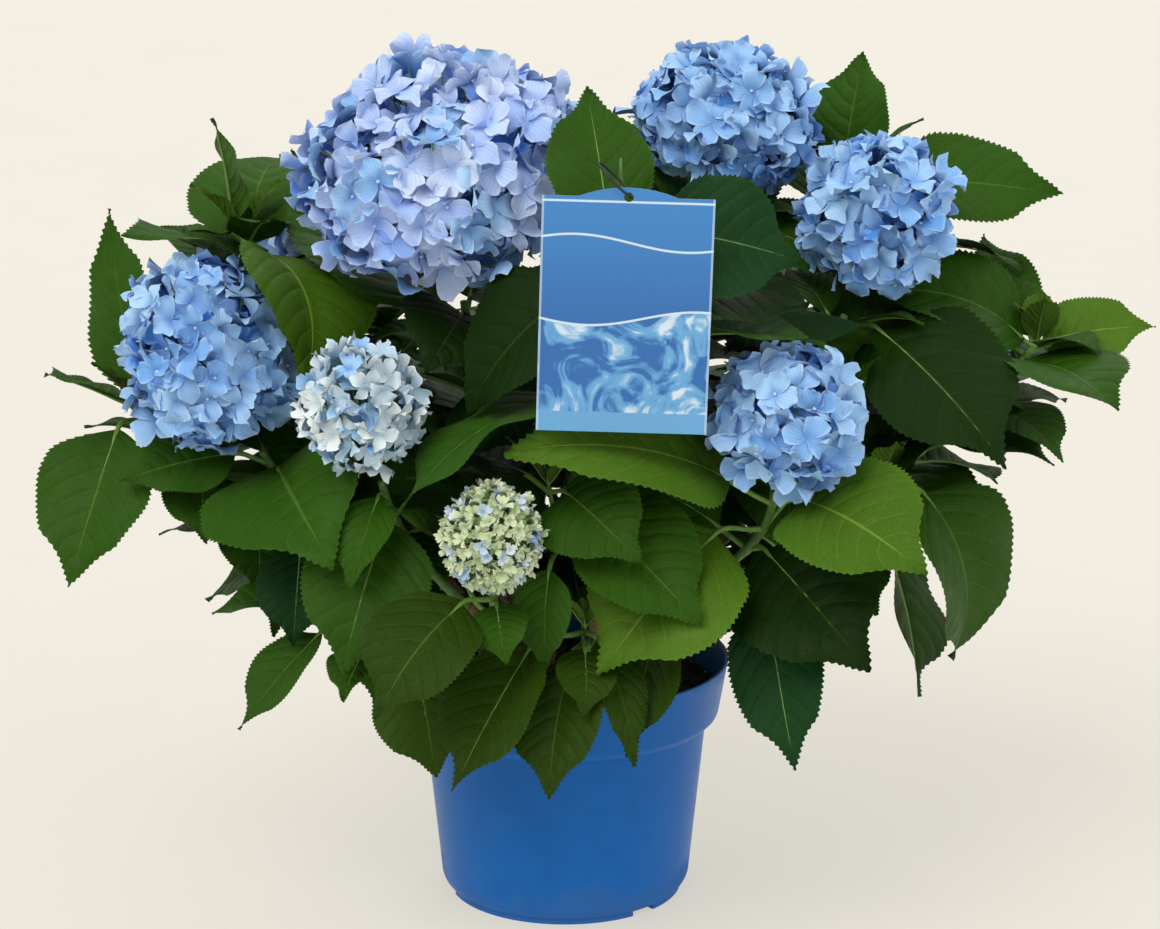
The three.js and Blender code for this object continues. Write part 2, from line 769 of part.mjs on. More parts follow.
// A flower head: a core on the end of its stalk, with florets that stand out of it
function flowerHead(shoot) {
  const { at, size, neck } = shoot.bloom;
  const lean = towards(shoot.lean[0], 90 - shoot.lean[1]);
  const place = new THREE.Matrix4().makeTranslation(...at);
  const upright = new THREE.Quaternion().setFromUnitVectors(UP, lean);
  place.multiply(new THREE.Matrix4().makeRotationFromQuaternion(upright));
  const core = new THREE.IcosahedronGeometry(CORE, 1).scale(...size).applyMatrix4(place);
  const area = (4 * Math.PI * (size[0] * size[1] + size[1] * size[2] + size[0] * size[2])) / 3;
  const radius = Math.min(FLORET.radius, FLORET.share * Math.min(...size));
  const count = Math.round((FLORET.cover * area) / (2 * radius ** 2));
  const draw = series(shoot.seed + 500);
  const florets = headPlaces(count).map((out) => {
    const facing = out.clone().divide(point(size)).normalize();
    const turn = new THREE.Quaternion().setFromUnitVectors(new THREE.Vector3(0, 1, 0), facing);
    const seat = out.multiply(point(size)).multiplyScalar(FLORET.inset);
    const one = floret(radius, draw).applyQuaternion(turn).translate(seat.x, seat.y, seat.z);
    return solidOf(one.applyMatrix4(place));
  });
  const low = point([0, 0, GAP - neck - size[2] * CORE]).applyMatrix4(place);
  const stem = limb(new THREE.LineCurve3(low, point(at)), () => STEM.tip, STEM.sides, 1);
  return wasm.Manifold.union([solidOf(core), stem, ...florets]);
}

// The plant, put together

const MATERIALS = {
  pot: { color: 0x2368ae, roughness: 0.42, metalness: 0 },
  compost: { color: 0x2a1d15, roughness: 0.95, metalness: 0 },
  bark: { color: 0x7a6a4c, roughness: 0.85, metalness: 0 },
  leaf: { color: 0x3c6a26, roughness: 0.55, metalness: 0 },
  label: { color: 0x4f8fd0, roughness: 0.35, metalness: 0 },
  tie: { color: 0x16201c, roughness: 0.6, metalness: 0 },
};

// Everything placed so far: its solid, its box, and the shoot and kind that it belongs to
const placed = [];
const plant = new THREE.Group();

function hold(solid, shoot, kind) {
  placed.push({ solid, shoot, kind, box: solid.boundingBox() });
  return solid;
}

function add(name, solid, finish) {
  const mesh = new THREE.Mesh(geometryOf(solid), new THREE.MeshStandardMaterial(finish));
  mesh.name = name;
  plant.add(mesh);
}

function isClear(solid, gap, counts) {
  const box = solid.boundingBox();
  const apart = (other) =>
    [0, 1, 2].some((k) => box.min[k] - gap > other.box.max[k] || other.box.min[k] - gap > box.max[k]);
  return placed.every((other) => !counts(other) || apart(other) || solid.minGap(other.solid, gap) >= gap);
}

// The first of the leaf's tries that stays clear of everything, or none
function grow(shoot, leaf) {
  for (const made of tries(leaf)) {
    const rings = bladeRings(made);
    const flat = leafBody(rings);
    if (!isClear(flat, LEAF_GAP, () => true)) continue;
    const whole = leafBody([...stalkRings(made), ...rings.slice(1)]);
    const strange = (other) => other.shoot !== shoot || other.kind === 'blade';
    if (isClear(whole, GAP, strange)) {
      hold(flat, shoot, 'blade');
      return [hold(whole, shoot, 'leaf')];
    }
  }
  return [];
}

add('pot', hold(pot(), null, 'pot'), MATERIALS.pot);
add('compost', hold(compost(), null, 'pot'), MATERIALS.compost);
add('label', hold(label(), null, 'label'), MATERIALS.label);
add('label_tie', hold(tie(), null, 'label'), MATERIALS.tie);
for (const [name, bough] of Object.entries(BOUGHS)) {
  const solid = limb(boughCurve(bough), (share) => boughRadius(bough, share), BOUGH.sides, BOUGH.steps);
  add(`bough_${name}`, hold(solid, null, 'bough'), MATERIALS.bark);
}

const masses = SHOOTS.map((shoot) => {
  const curve = stemCurve(shoot);
  const stem = hold(limb(curve, stemRadius, STEM.sides, STEM.steps), shoot, 'stem');
  if (shoot.bloom) {
    const finish = { color: shoot.bloom.tint, roughness: 0.7, metalness: 0 };
    add(`bloom_${shoot.name}`, hold(flowerHead(shoot), null, 'bloom'), finish);
  }
  return { shoot, parts: [stem], leaves: wanted(shoot, curve) };
});
for (const isSet of [true, false]) {
  for (const { shoot, parts, leaves } of masses) {
    for (const leaf of leaves.filter(({ set = false }) => set === isSet)) parts.push(...grow(shoot, leaf));
  }
}
for (const { shoot, parts } of masses) {
  add(`leaves_${shoot.name}`, wasm.Manifold.union(parts), MATERIALS.leaf);
}

export default plant;
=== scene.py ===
"""A mophead hydrangea in its nursery pot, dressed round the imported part.

Lengths are in millimetres until a mesh is made. +Z is up and the front of the plant faces -Y.
"""

import math

import bmesh
import bpy
import numpy as np
from mathutils import Matrix, Vector, kdtree, noise
from mathutils.bvhtree import BVHTree


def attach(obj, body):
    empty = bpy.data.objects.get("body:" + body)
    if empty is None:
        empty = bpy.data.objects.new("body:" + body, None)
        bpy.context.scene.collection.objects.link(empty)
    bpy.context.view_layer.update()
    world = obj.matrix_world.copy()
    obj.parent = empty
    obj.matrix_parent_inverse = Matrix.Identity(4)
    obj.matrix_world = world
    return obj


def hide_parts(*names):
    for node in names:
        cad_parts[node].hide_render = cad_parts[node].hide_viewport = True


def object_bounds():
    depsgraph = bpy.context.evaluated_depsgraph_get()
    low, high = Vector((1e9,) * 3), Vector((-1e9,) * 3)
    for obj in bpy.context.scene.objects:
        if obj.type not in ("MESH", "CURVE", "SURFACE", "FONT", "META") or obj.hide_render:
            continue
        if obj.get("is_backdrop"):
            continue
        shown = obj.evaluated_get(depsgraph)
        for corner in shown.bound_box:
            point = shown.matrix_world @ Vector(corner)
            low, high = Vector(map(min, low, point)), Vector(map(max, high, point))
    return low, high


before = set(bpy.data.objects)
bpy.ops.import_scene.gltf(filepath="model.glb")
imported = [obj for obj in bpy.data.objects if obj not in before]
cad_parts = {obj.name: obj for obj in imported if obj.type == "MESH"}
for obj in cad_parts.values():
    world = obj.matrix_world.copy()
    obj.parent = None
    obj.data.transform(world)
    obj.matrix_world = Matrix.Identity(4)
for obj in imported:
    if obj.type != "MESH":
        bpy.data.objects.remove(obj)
cad_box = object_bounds()

# Driving dimensions, the same as the part's where both have them
MM = 0.001
GAP = 0.35
SIDE_GAP = 0.15
POT = {
    "height": 170, "rim_radius": 115, "band_foot_radius": 108, "band": 38, "step": 9, "shoulder_radius": 99,
    "foot_radius": 88, "corner": 15, "corner_turn": 42, "ring_radius": 82, "ring_height": 3.5, "wall": 2.2,
    "floor": 3, "floor_edge": 10, "inner_corner": 2, "lip": 1.1, "turns": 128, "corner_rings": 7,
    "band_edge": (0.3, 1.2), "rim_edge": (0.6, 2), "roll": (15, 165, 6),
}
STEP_SHARES = ((0, 1), (0.2, 0.8), (0.55, 0.55), (0.92, 0.2), (1, 0))  # how far out and down the step goes
NOTCH = {"count": 3, "first": -48, "width": 19, "depth": 11, "height": 3.5}
DRAIN = {"count": 6, "radius": 5, "ring": 46, "sides": 32, "depth": 12}
COMPOST = {"top": 146, "radius": 107}
CRUMB = {
    "count": 1500, "smallest": 1.6, "largest": 5.5, "fewer_large": 3, "flat": (0.5, 1.2),
    "rough": (0.8, 1.2), "spin": 6.3, "proud": 0.25, "grit": 0.05,
}
LABEL = {
    "width": 108, "height": 151, "crown": 6, "shoulder": 23, "thickness": 1, "edge": 0.15, "hole": 3,
    "drop": 6, "at": (41, -192, 538), "tilt": -1.7, "arc_points": 33,
}
TIE = {"radius": 15, "wire": 0.75, "reach": 12, "above": 0.8, "sides": 12, "turns": 96}
BOUGH = {
    "steps": 6, "upright": 0.5, "flare": 0.45, "flare_length": 0.07, "sunk": 6, "rings": 64, "sides": 24,
}
SCAR = {"first": 26, "spacing": 31, "length": 2.6, "height": 0.1}
RIDGES = ((0.07, 2.6, 26, 9), (0.05, 6, 13, 5))  # the bark's ridges: height, turns round, length and shift
STEM = {
    "foot": 3.4, "tip": 2.5, "lowest": 0.12, "reach": 0.38, "side_reach": 0.19, "rings": 40, "sides": 10,
    "swelling": 0.3, "swelling_length": 4, "thickest": 4.2, "drawn_out": 26, "drawn_in": 0.72,
}
STALK = {
    "share": 0.2, "lift": 25, "follow": 0.5, "radius": 1.8, "rings": 16, "sides": 6, "bend": 0.45,
    "sag": 0.05, "level": 0.3, "flare": 0.45, "flare_fall": 9,
}
RIB = {"end": 0.86, "first": 0.7, "last": 0.2, "under": 0.75}
BLADE = {
    "width": 0.7, "fold": 12, "droop": 45, "wide": 0.8, "taper": 1.15, "uneven": 0.05, "crease": 0.012,
    "wave": 0.028, "fewest_waves": 1.2, "hang": 0.05, "hang_from": 0.35, "sway": 0.03,
}
POINT = {"first": 0.72, "drawn": 0.34, "heel": 0.3, "fuller": 0.09}
TOOTH = {"out": 0.011, "in": 0.5, "forward": 0.007, "first": 0.07, "last": 0.985, "edge": 0.999}
VEIN = {"pairs": 7.5, "sweep": 0.31, "bow": 1.3, "longest": 0.42, "puff": 0.011, "round": 0.7, "start": 5}
PAIR = {"first": 24, "spacing": 30, "rise": 18, "fall": 14, "length": 116, "growth": 10}
SPREAD = {"heading": 24, "rise": 16, "length": 24, "droop": 20, "roll": 24, "fold": 8, "width": 0.08}
TRIES = {"sizes": (1, 0.8), "turns": (8, 16, 25)}
WAYS = ((0, 1), (0, -1), (1, 0), (-1, 0), (1, 1), (-1, 1), (1, -1), (-1, -1))
CORE = 0.84
LUCK = {"spread": 7919, "start": 104729, "step": 16807, "modulus": 2147483647}
CURVE = {"steps": 201, "nudge": 0.0001}

# The finer leaves, where they have room, and the sides of the plant
FURTHER = {"length": 84, "spacing": 24, "turn": 45, "spread": 2, "fall": 0.25, "smaller": 0.75}
YOUNG = {
    "lengths": (46, 28), "rise": 48, "closing": 12, "least": 0.85, "spread": 0.3, "droop": 25, "fold": 26,
    "width": 0.52, "stalk": 2, "slim": 0.45,
}
ROOM = {"inside": 6, "front": -84, "pot": 4, "bloom": 1.02, "beside": 0.6, "behind": 8, "below": 12}
SPRAY = "mid"  # the green of a shoot's leaves that name no other
SIDES = {"back": 40, "left": -20}  # a shoot that ends beyond these is at the back, or else at the left
SAME_PLACE = 0.3  # how near a leaf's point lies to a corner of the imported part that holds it

# The meshes: each grid's rows along and across, how near corners merge (metres), what turn makes an edge
# sharp (degrees), and the seeds of the draws, which add to the shoot's own but for the crumbs
GRIDS = {"broad": (64, 10), "young": (24, 6), "rough": (6, 4), "petal": (5, 4)}
MERGE = 0.00001
SHARP = 35
SEEDS = {"crumbs": 5, "blades": 300, "bloom": 500, "young": 700, "further": 900}

# The flower heads: how the florets sit, their petals and their rays
# The inner layer's florets are painted wholly in the deep colour, as shade inside the head
FLORET = {
    "bare": 0.18, "cover": 1.9, "seat": 0.9, "inner": 0.74, "fewer": 0.4, "ragged": 0.08, "inward": 0.6,
    "sunk": 0.1, "tilt": 44, "sway": 46, "open": 0.35, "lumps": (0.97, 0.11, 2.6), "scale": (0.86, 0.26),
    "petal": (0.92, 0.16),
}
# A floret's tone mixes luck, noise patches and, through 'side', painted light: paler on the side towards the
# key light
TONE = {"luck": 0.45, "patch": 0.4, "grain": 1.7, "side": 0.35, "least": 0.08}
PATCH = {"height": 0.8, "grain": 2.3, "luck": 0.45}
PAINTED_LIGHT_SIDE = (-0.2, -0.6, 0.75)  # the side of a head towards the key light, where florets are painted paler as painted light
PETAL = {
    "back": 0.34, "cup": 0.3, "flat": 0.4, "foot": 0.08, "swell": 0.55, "end": 0.93, "tuck": 0.1,
    "ripple": 0.16, "curl": 0.5, "curls_along": 5, "curls_across": 2,
}
EYE = {"radius": 0.08, "rise": 0.06}
RAY = {"rings": 3, "sides": 5, "count": 14, "hub": 0.45, "foot": 0.4, "from": 0.35}
RAY_RADII = {"thick": (1.9, 1.4, 1), "thin": (0.7, 0.6, 0.6)}

# Camera, floor and light: a key from the upper left of the camera, a fill and a light behind
CAMERA = {"at": (10.4, -2300, 930), "aim": (10.4, 0, 308), "lens": 106.8}
# The floor's glow is painted light: an emission that lifts the shadows on it
FLOOR = {"half": 30000, "tints": ("8f8d88", "8d8b86"), "glow_tint": "f3eee2", "glow": 0.6}
SKY = {"tint": "f5f3ec", "strength": 0.7}
SUNS = {
    "key": {"at": (-1500, -2200, 3400), "strength": 1.7, "spread": 40, "tint": "fffaf2"},
    "fill": {"at": (2200, -1800, 1500), "strength": 0.5, "spread": 60, "tint": "f4f7ff"},
    "behind": {"at": (600, 2400, 2600), "strength": 0.5, "spread": 40, "tint": "ffffff"},
}
SUNS_AIM = (0, 0, 250)

# The faces of leaves, petals and the card. A pair is where a change starts and stops, and a share is how
# strong it is
LEAF_FACE = {
    "rib": (0.006, 0.036), "vein": (0.455, 0.495), "fade": (0.95, 0.5), "side_vein": 0.38, "veined": 0.62,
    "net_stretch": (1, 1.6, 1), "net_scale": 26.0, "net": (0.0, 0.16), "netted": 0.08, "net_depth": -0.1,
    "edge": (0.9, 1.0), "edge_share": 0.08, "mottle": 38.0, "tone": 0.55, "luck": 0.45, "puff": (0.49, 0.2),
    "puff_share": 0.5, "vein_depth": -0.5, "rough_from": (0.3, 0.8), "rough": (0.46, 0.62), "underside": 0.4,
    "relief": 0.9,
}
PETAL_FACE = {
    "veins": 7.0, "vein": (0.4, 0.5), "vein_share": 0.16, "vein_depth": -0.6, "throat": (0.5, 0.0),
    "throat_share": 0.6, "sides": (0.6, 1.0), "end": (0.75, 1.0), "rim_share": 0.35, "grain": 160.0,
    "relief": 0.25,
}
CARD = {
    "line": 148, "line_stroke": (0.9, 0.5), "top": 122, "middle": 74, "rise": 5, "beat": 0.045,
    "stroke": 0.9, "feather": 0.6, "phases": (0.6, 0.2), "strip": 13, "swirls": 34.0, "twist": 2.4,
    "deep": (0.4, 0.52), "pale": (0.54, 0.66), "shade": (0.35, 1.0), "seam": 0.2, "border": (1.6, 1.2),
    "border_share": 0.5,
}
CARD_FACE = {
    "Field": "3580c6", "Deep": "1f64ac", "Pale": "cbdeee", "Ground": "60a2d6", "scale": 60.0, "smooth": 0.24,
    "grain_rough": 0.08, "relief": 0.05,
}
POT_FACE = {
    "tints": ("085eae", "0a63b6"), "soil": "56687c", "scale": 9.0, "smooth": 0.33, "soil_rough": 0.35,
    "grain_rough": 0.06, "relief": 0.25,
}
STEM_FACE = {"scale": 30.0, "relief": 0.4, "roughness": 0.5}
GRAIN = {"finer": 6.0, "coarse_share": 0.6, "fine_share": 0.4, "mask": (0.38, 0.62)}
SPECK = {"stretch": (1, 1, 0.35), "size": (0.26, 0.12)}
SOIL = {
    "foot": (0.055, 0.0), "rim": (0.155, 0.171), "rim_share": 0.8, "scale": 34.0, "detail": 8.0,
    "near": 0.32, "mask": (0.62, 0.86), "cover": 0.2,
}

# A head's finishes, from what share of a patchy 0 to 1 each further one takes over, where in the noise its
# patches lie, and its petals' width and rise
HEADS = {
    "lavender": {"finishes": ("lavender", "blue"), "from": (0.7,), "patch": 41, "width": 0.62, "rise": 14},
    "blue": {"finishes": ("blue",), "from": (), "patch": 0, "width": 0.62, "rise": 14},
    "pale": {"finishes": ("pale", "blue"), "from": (0.76,), "patch": 88, "width": 0.5, "rise": 26},
    "green": {
        "finishes": ("green", "pale", "lavender"), "from": (0.66, 0.92), "patch": 157, "width": 0.44,
        "rise": 38,
    },
}

# Woody boughs, from the compost to the fork where the green shoots start
BOUGHS = {
    "left": {"foot": (-50, -6), "tip": (-104, -22, 250), "radii": (6.5, 5)},
    "front_left": {"foot": (-34, -44), "tip": (-66, -84, 232), "radii": (6, 4.6)},
    "middle": {"foot": (-14, -4), "tip": (-30, -14, 292), "radii": (7.5, 5.4)},
    "front": {"foot": (14, -52), "tip": (24, -96, 230), "radii": (5.5, 4.4)},
    "front_right": {"foot": (50, -34), "tip": (92, -66, 240), "radii": (6, 4.6)},
    "right": {"foot": (54, 6), "tip": (120, 8, 262), "radii": (6.5, 5)},
    "back": {"foot": (22, 30), "tip": (50, 52, 300), "radii": (7, 5.2)},
    "back_left": {"foot": (-32, 38), "tip": (-76, 92, 262), "radii": (6.5, 5)},
    "back_right": {"foot": (50, 50), "tip": (104, 110, 252), "radii": (6, 4.8)},
}


def set_leaf(down, heading, rise, length, **own):
    """A leaf listed one by one: how far below the shoot's end, its way and length. The rule draws the rest.
    """
    return {"down": down, "heading": heading, "rise": rise, "length": length, **own}


# Green shoots. 'ring' is the bough's ring where the stem starts: the last of BOUGH's steps is the tip
# itself. A shoot with a bloom ends just below it, and 'floret' is the reach of one floret. 'finish' is one
# of HEADS. 'lean' is the (heading, angle from upright) of the shoot's upper end. 'leaves' sets the leaves
# that face the front; 'more' further pairs follow below them, from the heading 'turn'. 'spray' is the green
# of the shoot's leaves and 'tint' that of one leaf. A shoot without a bloom ends in young leaves unless
# 'young' says not.
# A set leaf's lightest green partly paints light on a lit leaf, and its deep green partly paints shade on a
# leaf in shade
SHOOTS = [
    dict(
        name="top_left", bough="middle", ring=6, lean=(-130, 12), more=3, turn=40, seed=3,
        bloom=dict(at=(-80, -60, 524), size=(103, 88, 79), neck=26, finish="lavender", floret=19),
        leaves=[
            set_leaf(55, -69, -21, 90, droop=8, roll=46, stalk=10, width=0.95, tint="teal"),
            set_leaf(30, 145, 35, 160, droop=-30, roll=-10, stalk=35, width=0.8),
            set_leaf(10, -106, -17, 85, droop=63, roll=-25, stalk=10, width=0.89, tint="deep"),
        ],
    ),
    dict(
        name="top_right", bough="back", ring=6, lean=(40, 10), more=2, turn=120, seed=5,
        bloom=dict(at=(111, 40, 541), size=(66, 60, 52), neck=22, finish="blue", floret=17),
        leaves=[
            set_leaf(10, 165, 30, 120),
            set_leaf(10, -30, -5, 90, roll=30),
            set_leaf(34, 70, 40, 115),
        ],
    ),
    dict(
        name="right_high", bough="right", ring=6, lean=(-20, 16), more=3, turn=90, seed=7,
        bloom=dict(at=(209, -20, 486), size=(54, 52, 57), neck=24, finish="blue", floret=17),
        leaves=[
            set_leaf(8, -41, -36, 137, droop=29, roll=23, stalk=29, width=0.83, tint="deep"),
            set_leaf(8, -125, -20, 115, droop=60, roll=-20, stalk=40, width=0.85, tint="deep"),
            set_leaf(34, 60, 10, 120),
        ],
    ),
    dict(
        name="left_flower", bough="left", ring=6, lean=(-155, 26), more=2, turn=60, seed=11,
        bloom=dict(at=(-236, -60, 400), size=(62, 62, 72), neck=18, finish="blue", floret=17),
        leaves=[
            set_leaf(16, -70, -14, 139, droop=48, roll=32, stalk=10, width=0.88),
            set_leaf(10, -165, -10, 80, droop=20, roll=-40, stalk=25),
            set_leaf(60, -100, -68, 65, droop=15, roll=-15, stalk=68, width=0.83, tint="teal"),
        ],
    ),
    dict(
        name="behind_left", bough="back_left", ring=5, lean=(170, 12), more=2, turn=30, seed=73,
        tip=(-222, 18, 465),
        leaves=[
            set_leaf(3, -155, 80, 75, droop=15, stalk=14),
            set_leaf(3, -135, 10, 40, droop=10, stalk=14),
            set_leaf(25, 165, -20, 50, stalk=25),
            set_leaf(14, 56, 26, 107, droop=61, stalk=10, width=0.91),
            set_leaf(3, -66, -48, 114, droop=92, roll=-26, stalk=54, width=0.95, tint="fresh_and_lit"),
        ],
    ),
    dict(
        name="far_left", bough="left", ring=5, lean=(175, 42), more=1, turn=40, seed=13,
        tip=(-292, 0, 345),
        leaves=[
            set_leaf(3, 120, 71, 136, droop=14, roll=-59, stalk=10, width=0.42),
            set_leaf(3, -130, 25, 80, droop=10, stalk=20),
            set_leaf(3, -120, -50, 115, droop=15, stalk=30),
            set_leaf(34, 100, 10, 90),
        ],
    ),
    dict(
        name="front_pale", bough="front_left", ring=6, lean=(-120, 22), more=1, turn=80, seed=17,
        bloom=dict(at=(-131, -140, 383), size=(40, 40, 47), neck=18, finish="pale", floret=13),
        leaves=[
            set_leaf(10, -109, -42, 74, droop=24, stalk=10, width=0.52),
            set_leaf(30, -120, -58, 108, droop=40, roll=-20, stalk=10, width=0.8),
        ],
    ),
    dict(
        name="front_bud", bough="front_left", ring=5, lean=(-90, 30), more=1, turn=20, seed=19,
        bloom=dict(at=(-46, -190, 311), size=(33, 33, 40), neck=16, finish="green", floret=7),
        leaves=[
            set_leaf(8, -139, -41, 99, droop=47, roll=-27, stalk=26, width=0.75, tint="olive"),
            set_leaf(12, -80, -33, 50, droop=35, roll=17, stalk=15, width=0.79),
        ],
    ),
    dict(
        name="front_right_flower", bough="front_right", ring=6, lean=(-75, 22), more=0, turn=0, seed=23,
        bloom=dict(at=(144, -150, 380), size=(50, 48, 48), neck=20, finish="blue", floret=17),
        leaves=[
            set_leaf(10, -45, -15, 115, droop=50, roll=30, stalk=25, width=0.85, tint="fresh_and_lit"),
            set_leaf(10, -160, 20, 165, droop=50, roll=-30, stalk=35, width=0.6, tint="fresh_and_lit"),
            set_leaf(34, 15, 45, 80, droop=40, stalk=60),
            set_leaf(20, 80, 35, 110, roll=15, width=0.8),
            set_leaf(60, 170, 10, 120, roll=-35, width=0.8),
            set_leaf(34, -145, -40, 126, droop=32, roll=-33, stalk=39, width=0.84, tint="fresh_and_lit"),
            set_leaf(60, -54, -27, 125, droop=32, roll=38, stalk=18, width=0.83, tint="deep"),
            set_leaf(85, -67, -66, 113, droop=10, roll=37, stalk=60, width=0.56, tint="teal"),
            set_leaf(85, -131, -70, 103, droop=8, stalk=70, width=0.82, tint="olive"),
        ],
    ),
    dict(
        name="label_shoot", bough="middle", ring=5, lean=(-90, 3), more=3, turn=50, seed=29,
        tip=(36, -167, 552), young=False,
        leaves=[
            set_leaf(55, 3, -14, 97, droop=30, roll=60, stalk=27, width=0.85, tint="teal"),
            set_leaf(70, 105, 55, 100, droop=20, stalk=25),
            set_leaf(90, -165, -25, 115, roll=-40, width=0.8, tint="deep"),
            set_leaf(90, -20, -35, 110, roll=30, width=0.8, tint="deep"),
        ],
    ),
    dict(
        name="behind_right", bough="back_right", ring=5, lean=(40, 8), more=2, turn=100, seed=79,
        tip=(190, 52, 494),
        leaves=[
            set_leaf(3, 60, 70, 85, droop=15, stalk=14, width=0.85),
            set_leaf(10, -10, 60, 70, stalk=14, width=0.4),
            set_leaf(10, -10, -5, 120, droop=25, roll=45, stalk=40, width=0.62),
        ],
    ),
    dict(
        name="far_right", bough="right", ring=5, lean=(10, 46), more=1, turn=90, seed=31,
        tip=(326, 20, 390),
        leaves=[
            set_leaf(3, -160, 15, 130, droop=80, roll=-30, stalk=10),
            set_leaf(3, -10, 10, 80, droop=30, roll=40, stalk=6, tint="fresh_and_lit"),
            set_leaf(3, 105, 40, 60, droop=10, stalk=8),
        ],
    ),
    dict(
        name="right_back_flower", bough="back_right", ring=6, lean=(20, 22), more=3, turn=20, seed=37,
        bloom=dict(at=(268, 92, 384), size=(50, 50, 46), neck=20, finish="blue", floret=17),
        leaves=[set_leaf(10, 150, 30, 115)],
    ),
    dict(
        name="right_low", bough="front_right", ring=5, lean=(-10, 40), more=2, turn=90, seed=41,
        tip=(216, -52, 312),
        leaves=[
            set_leaf(4, 12, -79, 134, droop=83, roll=45, stalk=31, width=0.86),
            set_leaf(34, 20, -75, 140, droop=25, stalk=20),
        ],
    ),
    dict(
        name="front_middle", bough="front", ring=6, lean=(-100, 20), more=2, turn=170, seed=43,
        tip=(-10, -138, 332),
        leaves=[
            set_leaf(6, -72, -24, 104, droop=55, roll=40, stalk=14, width=0.85),
            set_leaf(6, 140, 20, 100, tint="deep"),
            set_leaf(22, -34, -44, 104, droop=18, roll=30, stalk=30, width=0.82),
            set_leaf(40, -104, -80, 67, droop=27, roll=21, stalk=44, width=0.68),
        ],
    ),
    dict(
        name="front_low", bough="front", ring=4, lean=(-90, 50), more=0, turn=0, seed=47,
        tip=(14, -142, 236), spray="olive",
        leaves=[
            set_leaf(8, -140, -44, 108, droop=10, stalk=46, width=0.74),
            set_leaf(8, -55, -55, 90, width=0.4),
            set_leaf(24, -105, -55, 95, droop=20, stalk=40),
            set_leaf(24, -75, -35, 70, stalk=40),
            set_leaf(30, 98, 20, 90, droop=20, roll=0, stalk=20, width=0.85, tint="deep"),
        ],
    ),
    dict(
        name="left_low", bough="front_left", ring=4, lean=(-155, 48), more=0, turn=0, seed=53,
        tip=(-138, -98, 226),
        leaves=[
            set_leaf(4, 170, -10, 70, stalk=40),
            set_leaf(10, -155, -45, 85, droop=20, stalk=35, width=0.6),
            set_leaf(30, -70, -60, 76, droop=38, roll=24, stalk=53, width=0.9, tint="olive"),
            set_leaf(30, -110, -25, 60, stalk=35),
        ],
    ),
    dict(
        name="back_left_flower", bough="back_left", ring=6, lean=(130, 18), more=4, turn=100, seed=59,
        bloom=dict(at=(-150, 150, 446), size=(70, 68, 58), neck=22, finish="lavender", floret=17),
        leaves=[],
    ),
    dict(
        name="back_low_left", bough="back_left", ring=4, lean=(150, 40), more=3, turn=140, seed=61,
        tip=(-190, 120, 290),
        leaves=[],
    ),
    dict(
        name="back_flower", bough="back", ring=5, lean=(90, 24), more=4, turn=60, seed=67,
        bloom=dict(at=(40, 196, 430), size=(60, 58, 52), neck=22, finish="blue", floret=17),
        leaves=[],
    ),
    dict(
        name="back_low_right", bough="back_right", ring=4, lean=(60, 38), more=3, turn=30, seed=71,
        tip=(150, 206, 296),
        leaves=[],
    ),
]


def colour(code):
    """A colour as the shader wants it, from its six-digit code."""
    parts = [int(code[i : i + 2], 16) / 255 for i in (0, 2, 4)]
    return (*[p / 12.92 if p < 0.04045 else ((p + 0.055) / 1.055) ** 2.4 for p in parts], 1)


def linked(name, data):
    """An object of the scene that holds the data."""
    thing = bpy.data.objects.new(name, data)
    bpy.context.collection.objects.link(thing)
    return thing


def mesh_of(bm, name):
    mesh = bpy.data.meshes.new(name)
    bm.to_mesh(mesh)
    bm.free()
    return mesh


# Camera, light and floor


def point_at(thing, place, aim):
    thing.location = Vector(place) * MM
    thing.rotation_euler = (Vector(aim) - Vector(place)).to_track_quat("-Z", "Y").to_euler()


def camera():
    eye = linked("camera", bpy.data.cameras.new("camera"))
    eye.data.lens = CAMERA["lens"]
    point_at(eye, CAMERA["at"], CAMERA["aim"])
    bpy.context.scene.camera = eye


def studio():
    """A pale floor under soft suns and an even sky."""
    for name, sun in SUNS.items():
        lamp = bpy.data.lights.new(name, "SUN")
        lamp.energy = sun["strength"]
        lamp.angle = math.radians(sun["spread"])
        lamp.color = colour(sun["tint"])[:3]
        point_at(linked(name, lamp), sun["at"], SUNS_AIM)
    world = bpy.data.worlds.new("studio")
    world.use_nodes = True
    sky = world.node_tree.nodes["Background"]
    sky.inputs["Color"].default_value = colour(SKY["tint"])
    sky.inputs["Strength"].default_value = SKY["strength"]
    bpy.context.scene.world = world
    bpy.context.scene.view_settings.view_transform = "Standard"
    bm = bmesh.new()
    bmesh.ops.create_grid(bm, x_segments=1, y_segments=1, size=FLOOR["half"] * MM)
    floor = linked("floor", mesh_of(bm, "floor"))
    floor.data.materials.append(floor_finish())
    floor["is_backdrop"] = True


# The rule that the source grows the plant by


def series(seed):
    """A repeatable run of numbers from 0 to 1, the same as the source's."""
    state = (seed * LUCK["spread"] + LUCK["start"]) % LUCK["modulus"]
    while True:
        state = state * LUCK["step"] % LUCK["modulus"]
        yield state / LUCK["modulus"]


def towards(heading, rise):
    """Unit vector at a heading in the ground plane and a rise above it."""
    heading, rise = math.radians(heading), math.radians(rise)
    level = math.cos(rise)
    return np.array([level * math.cos(heading), level * math.sin(heading), math.sin(rise)])


def unit(vector):
    return vector / np.linalg.norm(vector)


